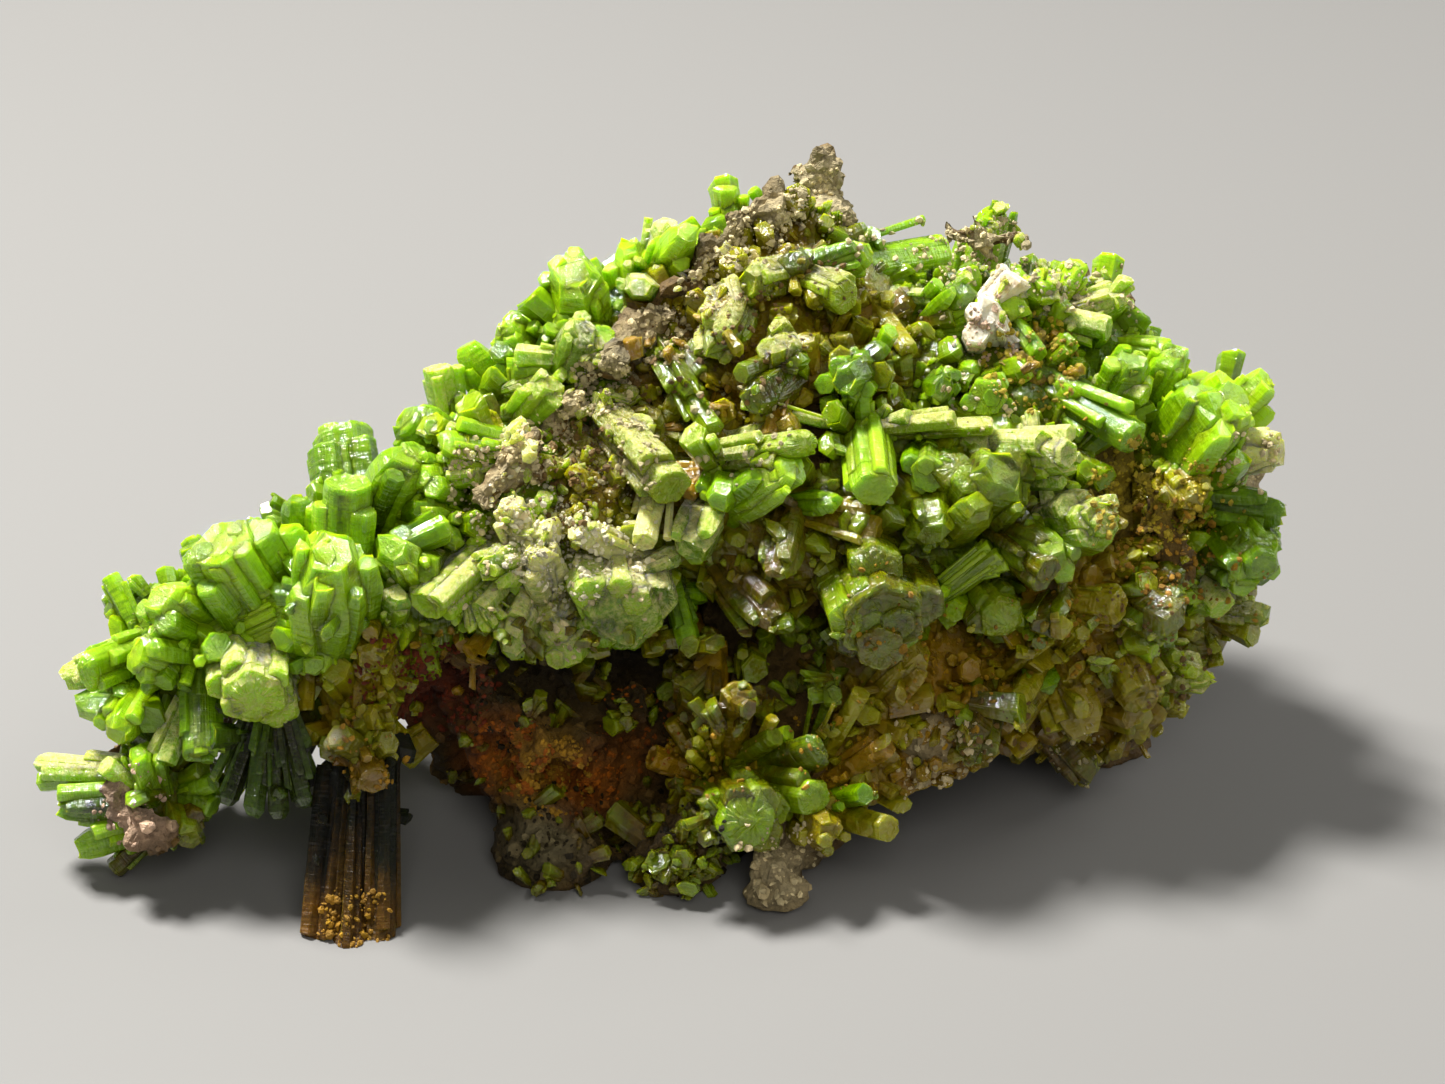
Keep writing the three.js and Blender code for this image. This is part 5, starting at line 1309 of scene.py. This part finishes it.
def strewn(zones, kinds, seed):
    """A shell of small things set where lines of sight first meet the specimen. A zone is (across, up,
    radius, count, look, smallest, largest)."""
    depsgraph = bpy.context.evaluated_depsgraph_get()
    scene = bpy.context.scene
    eye = Vector((EYE - FOOTPRINT_CENTRE) * MM)
    random = np.random.default_rng(seed)
    shapes = [mesh_arrays(thing.data) for thing in kinds.objects]
    shell = Shell()
    for across, up, radius, count, look, smallest, largest in zones:
        for _ in range(count):
            reach = radius * math.sqrt(random.random()) * STREWN_REACH
            turn = random.random() * 2 * math.pi
            aim = show_point(across + reach * math.cos(turn), up + reach * math.sin(turn), 0)
            hit, place, normal, _, thing, _ = scene.ray_cast(depsgraph, eye, Vector(aim - EYE).normalized())
            if not hit or not thing.name.endswith(DRESSED):
                continue
            at = np.array(place) / MM + FOOTPRINT_CENTRE
            if noise.noise(Vector(at) * CLUMPING) < random.uniform(*CLUMP_EDGE):
                continue
            points, faces, tip, grain = shapes[random.integers(len(shapes))]
            size = smallest + (largest - smallest) * random.random() ** STREWN_SMALLNESS
            stretch = random.uniform(*STRETCH, 3) * size
            axis = unit(np.array(normal) + random.uniform(-STREWN_SLANT, STREWN_SLANT, 3))
            side, front = crystal_frame(axis, random.random() * 100)
            set_points = placed(points * stretch, at, axis, side, front)
            tint = random.random()
            shell.add(set_points, faces, look, tip, tint, grain + random.random() * STREWN_GRAIN_SHIFT, 0.0)
    return shell


# ---- Materials ----
# A Mix node's sockets for two colours, and for the colour between them.
MIX_FIRST = 6
MIX_SECOND = 7
MIX_RESULT = 2


# Noise along the grain of a crystal: waves in a millimetre along each axis, detail and roughness.
GROWTH_PATTERNS = (
    ((0.7, 0.7, 0.5), 4.0, 0.6),  # cloud
    ((3.2, 3.2, 3.2), 4.0, 0.7),  # sugar
    ((1.6, 1.6, 1.2), 5.0, 0.7),  # stain
    ((7.0, 7.0, 0.45), 3.0, 0.6),  # striae
    ((0.6, 0.6, 4.5), 2.0, 0.6),  # growth steps
)


def new_material(name):
    """A material with an empty tree, and the tree."""
    material = bpy.data.materials.new(name)
    material.use_nodes = True
    tree = material.node_tree
    tree.nodes.clear()
    return material, tree


# How deep reliefs are and how far light goes in, in metres, and waves of each pattern in a metre.
GROWTH_RELIEF = 0.00026
GREEN_DEPTH = 0.0011
COARSE_PORES = 600
FINE_PORES = 2600
PORE_DEPTH = 0.0005
QUARTZ_STAINS = 700
QUARTZ_GRIT = 3000
QUARTZ_RELIEF = 0.00015
QUARTZ_DEPTH = 0.0008
FLOOR_ROUGHNESS = 0.7


def pyromorphite(name, deep, body, lime, frost_and_highlight_colour, iron, dullness=0.06, index=1.85):
    """Grown pyromorphite. Lead chlorophosphate is glassy and lets light into its first millimetre, so it
    glows in its own green; growth leaves fine ribs along each face, and frost, a painted highlight and iron
    cover some of them."""
    material, tree = new_material(name)
    look, tip, tint, grain = (
        add_node(tree, "ShaderNodeAttribute", attribute_name=key, attribute_type="GEOMETRY").outputs
        for key in ("look", "tip", "tint", "grain")
    )
    tip, tint, grain = tip["Fac"], tint["Fac"], grain["Vector"]
    greenness, frosted, rusted = add_node(tree, "ShaderNodeSeparateXYZ", {0: look["Vector"]}).outputs
    patterns = []
    for scale, detail, crispness in GROWTH_PATTERNS:
        stretched = add_node(tree, "ShaderNodeMapping", {"Vector": grain, "Scale": scale})
        patterns.append(add_node(tree, "ShaderNodeTexNoise", {
            "Vector": stretched, "Scale": 1.0, "Detail": detail, "Roughness": crispness,
        }))
    cloud, sugar, stain, striae, steps = patterns
    # Green: light at the free end, deeper at the root, cloudy and sugary inside.
    lightness = add_node(tree, "ShaderNodeMath", {0: greenness, 1: 0.85, 2: -0.08}, operation="MULTIPLY_ADD")
    for pattern, middle, amount in ((tint, 0.5, 0.4), (cloud, 0.5, 0.7), (tip, 0.0, 0.34), (sugar, 0.5, 0.5)):
        change = add_node(tree, "ShaderNodeMath", {0: pattern, 1: middle}, operation="SUBTRACT")
        inputs = {0: change, 1: amount, 2: lightness}
        lightness = add_node(tree, "ShaderNodeMath", inputs, operation="MULTIPLY_ADD")
    ramp = add_node(tree, "ShaderNodeValToRGB", {0: lightness})
    stops = ramp.color_ramp.elements
    for stop, (position, colour) in zip(stops, ((0.08, deep), (1.0, lime))):
        stop.position = position
        stop.color = colour
    stops.new(0.52).color = body
    # Iron: golden-brown stains in patches.
    stained = add_node(tree, "ShaderNodeMath", {0: stain, 1: 0.6}, operation="SUBTRACT")
    stained = add_node(tree, "ShaderNodeMath", {0: stained, 1: rusted}, operation="ADD")
    for amount in (1.8, rusted):
        inputs = {0: stained, 1: amount}
        stained = add_node(tree, "ShaderNodeMath", inputs, operation="MULTIPLY", use_clamp=True)
    inputs = {0: stained, MIX_FIRST: ramp, MIX_SECOND: iron}
    colour = add_node(tree, "ShaderNodeMix", inputs, data_type="RGBA").outputs[MIX_RESULT]
    # Frost and painted highlight: sugary grains, and a pale colour painted where faces catch the light, most
    # of it on faces that look up.
    normal = add_node(tree, "ShaderNodeTexCoord").outputs["Normal"]
    facing_up = add_node(tree, "ShaderNodeSeparateXYZ", {0: normal}).outputs[2]
    frost_and_highlight_share = add_node(tree, "ShaderNodeMath", {0: facing_up, 1: 0.22, 2: frosted}, operation="MULTIPLY_ADD")
    grains = add_node(tree, "ShaderNodeMath", {0: sugar, 1: 0.95}, operation="SUBTRACT")
    frost_and_highlight_share = add_node(tree, "ShaderNodeMath", {0: frost_and_highlight_share, 1: grains}, operation="ADD")
    frost_and_highlight_share = add_node(tree, "ShaderNodeMath", {0: frost_and_highlight_share, 1: 2.6}, operation="MULTIPLY", use_clamp=True)
    frost_and_highlight_share = add_node(tree, "ShaderNodeMath", {0: frost_and_highlight_share, 1: 0.78}, operation="MULTIPLY")
    inputs = {0: frost_and_highlight_share, MIX_FIRST: colour, MIX_SECOND: frost_and_highlight_colour}
    colour = add_node(tree, "ShaderNodeMix", inputs, data_type="RGBA").outputs[MIX_RESULT]
    roughness = dullness
    for dulled in (frost_and_highlight_share, stained):
        inputs = {0: dulled, 1: 0.25, 2: roughness}
        roughness = add_node(tree, "ShaderNodeMath", inputs, operation="MULTIPLY_ADD")
    # Relief: ribs along the faces, growth steps across them and grit, then small faces that glint.
    height = add_node(tree, "ShaderNodeMath", {0: striae, 1: 0.4}, operation="MULTIPLY")
    height = add_node(tree, "ShaderNodeMath", {0: steps, 1: 0.5, 2: height}, operation="MULTIPLY_ADD")
    gritty = add_node(tree, "ShaderNodeMath", {0: frost_and_highlight_share, 1: 0.18}, operation="ADD")
    grit = add_node(tree, "ShaderNodeMath", {0: sugar, 1: gritty}, operation="MULTIPLY")
    height = add_node(tree, "ShaderNodeMath", {0: grit, 1: 1.3, 2: height}, operation="MULTIPLY_ADD")
    bump = add_node(tree, "ShaderNodeBump", {"Height": height, "Strength": 0.8, "Distance": GROWTH_RELIEF})
    facets = add_node(tree, "ShaderNodeTexVoronoi", {"Vector": grain, "Scale": 2.6, "Randomness": 1.0})
    tilt = add_node(tree, "ShaderNodeVectorMath", {
        0: facets.outputs["Color"], 1: (0.5, 0.5, 0.5),
    }, operation="SUBTRACT")
    covered = add_node(tree, "ShaderNodeMath", {0: frost_and_highlight_share, 1: stained}, operation="ADD")
    glitter = add_node(tree, "ShaderNodeMath", {0: covered, 1: 0.9, 2: 0.1}, operation="MULTIPLY_ADD")
    tilted = add_node(tree, "ShaderNodeVectorMath", {0: tilt, 3: glitter}, operation="SCALE")
    turned = add_node(tree, "ShaderNodeVectorMath", {0: bump, 1: tilted}, operation="ADD")
    facing = add_node(tree, "ShaderNodeVectorMath", {0: turned}, operation="NORMALIZE")
    shader = add_node(tree, "ShaderNodeBsdfPrincipled", {
        "Base Color": colour, "Roughness": roughness, "Normal": facing, "IOR": index,
        "Subsurface Weight": 0.7, "Subsurface Radius": (0.8, 1.0, 0.05), "Subsurface Scale": GREEN_DEPTH,
    }, subsurface_method="RANDOM_WALK")
    add_node(tree, "ShaderNodeOutputMaterial", {"Surface": shader})
    return material


def limonite(name):
    """Weathered limonite: matt, porous and crumbly, coloured from cream to rust by its iron, with fine grains
    of quartz that glint."""
    material, tree = new_material(name)
    place = add_node(tree, "ShaderNodeTexCoord").outputs["Object"]
    patch, tint = (
        add_node(tree, "ShaderNodeAttribute", attribute_name=key, attribute_type="GEOMETRY").outputs
        for key in ("patch", "tint")
    )
    coarse, fine = (
        add_node(tree, "ShaderNodeTexNoise", {
            "Vector": place, "Scale": scale, "Detail": detail, "Roughness": 0.7,
        })
        for scale, detail in ((COARSE_PORES, 6.0), (FINE_PORES, 4.0))
    )
    shade = add_node(tree, "ShaderNodeMath", {0: coarse, 1: 1.7, 2: -0.35}, operation="MULTIPLY_ADD")
    change = add_node(tree, "ShaderNodeMath", {0: tint["Fac"], 1: 0.5}, operation="SUBTRACT")
    for pattern, amount in ((fine, 0.9), (change, 0.6)):
        shade = add_node(tree, "ShaderNodeMath", {0: pattern, 1: amount, 2: shade}, operation="MULTIPLY_ADD")
    scaled = add_node(tree, "ShaderNodeVectorMath", {0: patch["Vector"], 3: shade}, operation="SCALE")
    height = add_node(tree, "ShaderNodeMath", {0: fine, 1: 0.5, 2: coarse}, operation="MULTIPLY_ADD")
    bump = add_node(tree, "ShaderNodeBump", {"Height": height, "Strength": 1.0, "Distance": PORE_DEPTH})
    glinting = add_node(tree, "ShaderNodeMath", {0: fine, 1: 0.64}, operation="GREATER_THAN")
    roughness = add_node(tree, "ShaderNodeMath", {0: glinting, 1: -0.55, 2: 0.85}, operation="MULTIPLY_ADD")
    shader = add_node(tree, "ShaderNodeBsdfPrincipled", {
        "Base Color": scaled, "Roughness": roughness, "Normal": bump, "IOR": 1.6,
    })
    add_node(tree, "ShaderNodeOutputMaterial", {"Surface": shader})
    return material


def painted_board(name, colour, roughness):
    """Board with matt paint, rolled on: one even colour without gloss."""
    material, tree = new_material(name)
    shader = add_node(tree, "ShaderNodeBsdfPrincipled", {"Base Color": colour, "Roughness": roughness})
    add_node(tree, "ShaderNodeOutputMaterial", {"Surface": shader})
    return material


def quartz(name):
    """Milky quartz, grown as a crust of tiny crystals: pale, waxy and lightly stained by iron."""
    material, tree = new_material(name)
    place = add_node(tree, "ShaderNodeTexCoord").outputs["Object"]
    stain, grit = (
        add_node(tree, "ShaderNodeTexNoise", {
            "Vector": place, "Scale": scale, "Detail": detail, "Roughness": 0.7,
        })
        for scale, detail in ((QUARTZ_STAINS, 5.0), (QUARTZ_GRIT, 3.0))
    )
    share = add_node(tree, "ShaderNodeMath", {0: stain, 1: 0.5}, operation="SUBTRACT")
    share = add_node(tree, "ShaderNodeMath", {0: share, 1: 4.0}, operation="MULTIPLY", use_clamp=True)
    inputs = {0: share, MIX_FIRST: linear("#f1e6cc"), MIX_SECOND: linear("#b8966c")}
    colour = add_node(tree, "ShaderNodeMix", inputs, data_type="RGBA").outputs[MIX_RESULT]
    bump = add_node(tree, "ShaderNodeBump", {"Height": grit, "Strength": 0.8, "Distance": QUARTZ_RELIEF})
    shader = add_node(tree, "ShaderNodeBsdfPrincipled", {
        "Base Color": colour, "Roughness": 0.32, "Normal": bump, "IOR": 1.55, "Subsurface Weight": 0.5,
        "Subsurface Radius": (1.0, 0.9, 0.7), "Subsurface Scale": QUARTZ_DEPTH,
    }, subsurface_method="RANDOM_WALK")
    add_node(tree, "ShaderNodeOutputMaterial", {"Surface": shader})
    return material


# ---- Sizes and colours that a user would change ----
def size_setting(name, description, millimetres):
    """A size that a user can change."""
    return FloatProperty(name=name, description=description, default=millimetres * MM, min=0.1 * MM,
                         max=5 * MM, precision=5, unit="LENGTH")


def colour_setting(name, description, value):
    """A colour that a user can change."""
    return FloatVectorProperty(name=name, description=description, default=linear(value), size=4, min=0,
                               max=1, subtype="COLOR")


class MINERAL_PG_druse(bpy.types.PropertyGroup):
    """Sizes of the small crystals that fill the crusts"""
    spacing: size_setting("Spacing", "Least distance between small crystals", 0.85)
    smallest: size_setting("Smallest", "Width of the smallest ones", 0.5)
    largest: size_setting("Largest", "Width of the largest ones", 1.9)
    lean: FloatProperty(name="Lean", description="Most that one leans from the crust's normal", default=0.75,
                        min=0, max=1.5, subtype="ANGLE")
    seed: IntProperty(name="Seed", description="Number that the scatter starts from", default=11, min=0)


class MINERAL_PG_colours(bpy.types.PropertyGroup):
    """Colours of the green crystals and the floor"""
    deep: colour_setting("Deep green", "Root of a crystal, where it is thick", "#1e2600")
    body: colour_setting("Green", "Middle of a crystal", "#668c00")
    lime: colour_setting("Yellow-green", "Free end of a bright crystal", "#a4d014")
    # The frost colour is also painted where faces catch the light, as a painted highlight.
    frost_and_highlight_colour: colour_setting("Frost and highlight", "Sugary grains and painted highlight on the faces", "#f4ea9e")
    iron: colour_setting("Iron stain", "Golden-brown stain on the faces", "#98700a")
    floor: colour_setting("Floor", "Painted board under the specimen", "#7c7a76")


# The rarer finishes: name, the five colours as in the settings, and how its surface differs.
OTHER_FINISHES = {
    "olive": (
        "pyromorphite, olive, iron-stained", ("#232204", "#66640c", "#9d9a1e", "#b9a95c", "#855708"), {},
    ),
    "dark": (
        "pyromorphite, dark green, as grown", ("#121c02", "#45640a", "#93ae26", "#d4d7a5", "#3b2a06"), {},
    ),
    # The standing crystal's colours are limonite brown, darkened partly as painted shade for the overhang
    # above it.
    "rusty_and_shaded": (
        "pyromorphite, brown, limonite-coated", ("#080a02", "#15190a", "#2f320a", "#5c4c10", "#8a5c08"),
        dict(dullness=0.4, index=1.45),
    ),
}
built = {}


def shared():
    """The skin, crystals, druse and materials that the operators share, made once."""
    if built:
        return built
    own = bpy.context.scene.mineral_colours
    built["skin"] = Skin()
    built["growth"] = Growth(built["skin"])
    built["tree"] = druse_tree()
    built["sprigs"] = small_crystals()
    built["crumbs"] = crumb_kinds()
    colours = (own.deep, own.body, own.lime, own.frost_and_highlight_colour, own.iron)
    built["green"] = pyromorphite("pyromorphite, green, as grown", *colours)
    for key, (name, colours, surface) in OTHER_FINISHES.items():
        built[key] = pyromorphite(name, *(linear(value) for value in colours), **surface)
    built["quartz"] = quartz("quartz, milky, drusy")
    built["rock"] = limonite("limonite, weathered")
    return built


def dressed_cluster(name, finish, seed):
    """A crust with its crystals and the small ones between them."""
    have, sizes = shared(), bpy.context.scene.mineral_druse
    crystals = have["growth"].crystals[name]
    shell = Shell()
    add_crust(shell, have["skin"], have["growth"].cells[name], crystals, seed)
    for crystal in crystals:
        add_crystal(shell, crystal)
    grown = grown_over(
        shell.mesh(name), have["tree"], Spacing=sizes.spacing / MM, Smallest=sizes.smallest / MM,
        Largest=sizes.largest / MM, Lean=sizes.lean, Seed=sizes.seed + seed, Crystals=have["sprigs"],
        Finish=have[finish])
    return finished_piece(name + DRESSED, grown, have[finish], name)


class MINERAL_OT_rock(bpy.types.Operator):
    """Makes the limonite ridge that the crystals grew on"""
    bl_idname = "mineral.rock"
    bl_label = "Limonite rock"

    def execute(self, context):
        have = shared()
        kinds = dict(Crystals=have["crumbs"], Finish=have["rock"])
        mesh = grown_over(rock_mesh(), have["tree"], **kinds, **ROCK_GRAINS)
        finished_piece("limonite_rock" + DRESSED, mesh, have["rock"], "limonite_rock")
        return {"FINISHED"}


class MINERAL_OT_sprinkled(bpy.types.Operator):
    """Sets small crystals on the bare rock and strews crumbs of limonite and clay over the specimen"""
    bl_idname = "mineral.sprinkled"
    bl_label = "Small crystals and crumbs"

    def execute(self, context):
        have = shared()
        context.view_layer.update()
        for thing in frame["nodes"].values():
            thing.hide_set(True)
        zones = [(*zone[:4], np.array(LOOKS[zone[4]]), *zone[5:]) for zone in SPRINKLES]
        sprigs = strewn(zones, have["sprigs"], 8).mesh("scattered_crystals")
        zones = [(*zone[:4], np.array(linear(EARTHS[zone[4]])[:3]), *CRUMB_SIZES) for zone in DUSTINGS]
        crumbs = strewn(zones, have["crumbs"], 4).mesh("earth_crumbs", "patch")
        for thing in frame["nodes"].values():
            thing.hide_set(False)
        finished_piece("scattered_crystals", sprigs, have["green"], None)
        finished_piece("earth_crumbs", crumbs, have["rock"], None)
        return {"FINISHED"}


GREEN_CLUSTERS = [name for name in CAD_ORDER if name not in UNCRUSTED] + [name for name, *_ in FAR_CRUSTS]
ODD_CLUSTERS = {  # slot and finish of each
    "olive_cluster": ("olive_pyromorphite", "olive"), "hanging_fan": ("dark_pyromorphite", "dark"),
    "standing_crystal": ("rusty_pyromorphite", "rusty_and_shaded"), "quartz_knob": ("quartz", "quartz"),
}
FIRST_ODD_SEED = 40


class MINERAL_OT_green_crusts(bpy.types.Operator):
    """Makes the green crusts with their large and small crystals"""
    bl_idname = "mineral.green_crusts"
    bl_label = "Green crusts"

    def execute(self, context):
        for seed, name in enumerate(GREEN_CLUSTERS):
            dressed_cluster(name, "green", seed)
        return {"FINISHED"}


class MINERAL_OT_odd_crystals(bpy.types.Operator):
    """Makes the olive crystals, the hanging fan, the standing crystal and the quartz knob"""
    bl_idname = "mineral.odd_crystals"
    bl_label = "Olive, hanging and standing crystals"

    def execute(self, context):
        for seed, (name, (slot, finish)) in enumerate(ODD_CLUSTERS.items(), FIRST_ODD_SEED):
            dressed_cluster(name, finish, seed)
        return {"FINISHED"}


# Sizes of the stage, in metres and watts. A lamp is [place, what it shines at, side, power].
FLOOR_REACH = 3.0
LAMPS = {
    "key": ((-0.16, 0.1, 0.4), (0, 0, 0.012), 0.09, 5.0),
    "fill": ((0.1, -0.42, 0.4), (0, 0, 0.012), 0.35, 1.15),
    "rim": ((0.34, 0.12, 0.26), (0, 0, 0.015), 0.2, 0.65),
}
SKY_COLOUR = (0.8, 0.79, 0.77, 1)
SKY_STRENGTH = 0.16
NEAREST_SEEN = 0.01


class MINERAL_OT_stage(bpy.types.Operator):
    """Makes the pale floor, the soft studio lights and the camera"""
    bl_idname = "mineral.stage"
    bl_label = "Stage"

    def execute(self, context):
        scene = context.scene
        corners = [(x * FLOOR_REACH, y * FLOOR_REACH, 0) for x, y in ((-1, -1), (1, -1), (1, 1), (-1, 1))]
        floor_mesh = bpy.data.meshes.new("floor")
        floor_mesh.from_pydata(corners, [], [(0, 1, 2, 3)])
        floor_mesh.materials.append(
            painted_board("floor, matt painted board", scene.mineral_colours.floor, FLOOR_ROUGHNESS))
        floor = bpy.data.objects.new("floor", floor_mesh)
        scene.collection.objects.link(floor)
        for name, (place, aim, size, power) in LAMPS.items():
            light = bpy.data.lights.new(name, "AREA")
            light.size = size
            light.energy = power
            lamp = bpy.data.objects.new(name, light)
            lamp.location = place
            lamp.rotation_euler = (Vector(aim) - Vector(place)).to_track_quat("-Z", "Y").to_euler()
            lamp.visible_glossy = name != "fill"  # a broad light's reflection would veil the greens
            scene.collection.objects.link(lamp)
        world = bpy.data.worlds.new("studio")
        world.use_nodes = True
        sky = world.node_tree.nodes["Background"].inputs
        sky["Color"].default_value = SKY_COLOUR
        sky["Strength"].default_value = SKY_STRENGTH
        scene.world = world
        scene.view_settings.view_transform = "Standard"  # shows the colours as their hex values give them
        data = bpy.data.cameras.new("camera")
        data.sensor_fit = "HORIZONTAL"
        data.sensor_width = SENSOR_WIDTH
        data.lens = SENSOR_WIDTH * EYE_DISTANCE / GRID_WIDTH
        data.clip_start = NEAREST_SEEN
        camera = bpy.data.objects.new("camera", data)
        turned = Matrix([ACROSS, UP, -INTO]).transposed().to_4x4()
        camera.matrix_world = Matrix.Translation(Vector((EYE - FOOTPRINT_CENTRE) * MM)) @ turned
        scene.collection.objects.link(camera)
        scene.camera = camera
        return {"FINISHED"}


class MINERAL_PT_panel(bpy.types.Panel):
    """Lists the steps that dress the specimen"""
    bl_label = "Pyromorphite cluster"
    bl_idname = "MINERAL_PT_panel"
    bl_space_type = "VIEW_3D"
    bl_region_type = "UI"
    bl_category = "Mineral"

    def draw(self, context):
        for operator in OPERATORS:
            self.layout.operator(operator.bl_idname)
        for settings in (context.scene.mineral_druse, context.scene.mineral_colours):
            for name in settings.bl_rna.properties.keys():
                if name not in ("name", "rna_type"):
                    self.layout.prop(settings, name)


OPERATORS = (
    MINERAL_OT_rock, MINERAL_OT_green_crusts, MINERAL_OT_odd_crystals, MINERAL_OT_sprinkled, MINERAL_OT_stage,
)
CLASSES = (MINERAL_PG_druse, MINERAL_PG_colours, *OPERATORS, MINERAL_PT_panel)


def register():
    for cls in CLASSES:
        bpy.utils.register_class(cls)
    bpy.types.Scene.mineral_druse = PointerProperty(type=MINERAL_PG_druse)
    bpy.types.Scene.mineral_colours = PointerProperty(type=MINERAL_PG_colours)


def unregister():
    del bpy.types.Scene.mineral_colours
    del bpy.types.Scene.mineral_druse
    for cls in reversed(CLASSES):
        bpy.utils.unregister_class(cls)


def main():
    """Makes the finished specimen and its stage."""
    register()
    bpy.ops.mineral.rock()
    bpy.ops.mineral.green_crusts()
    bpy.ops.mineral.odd_crystals()
    bpy.ops.mineral.sprinkled()
    bpy.ops.mineral.stage()


if __name__ == "__main__":
    main()
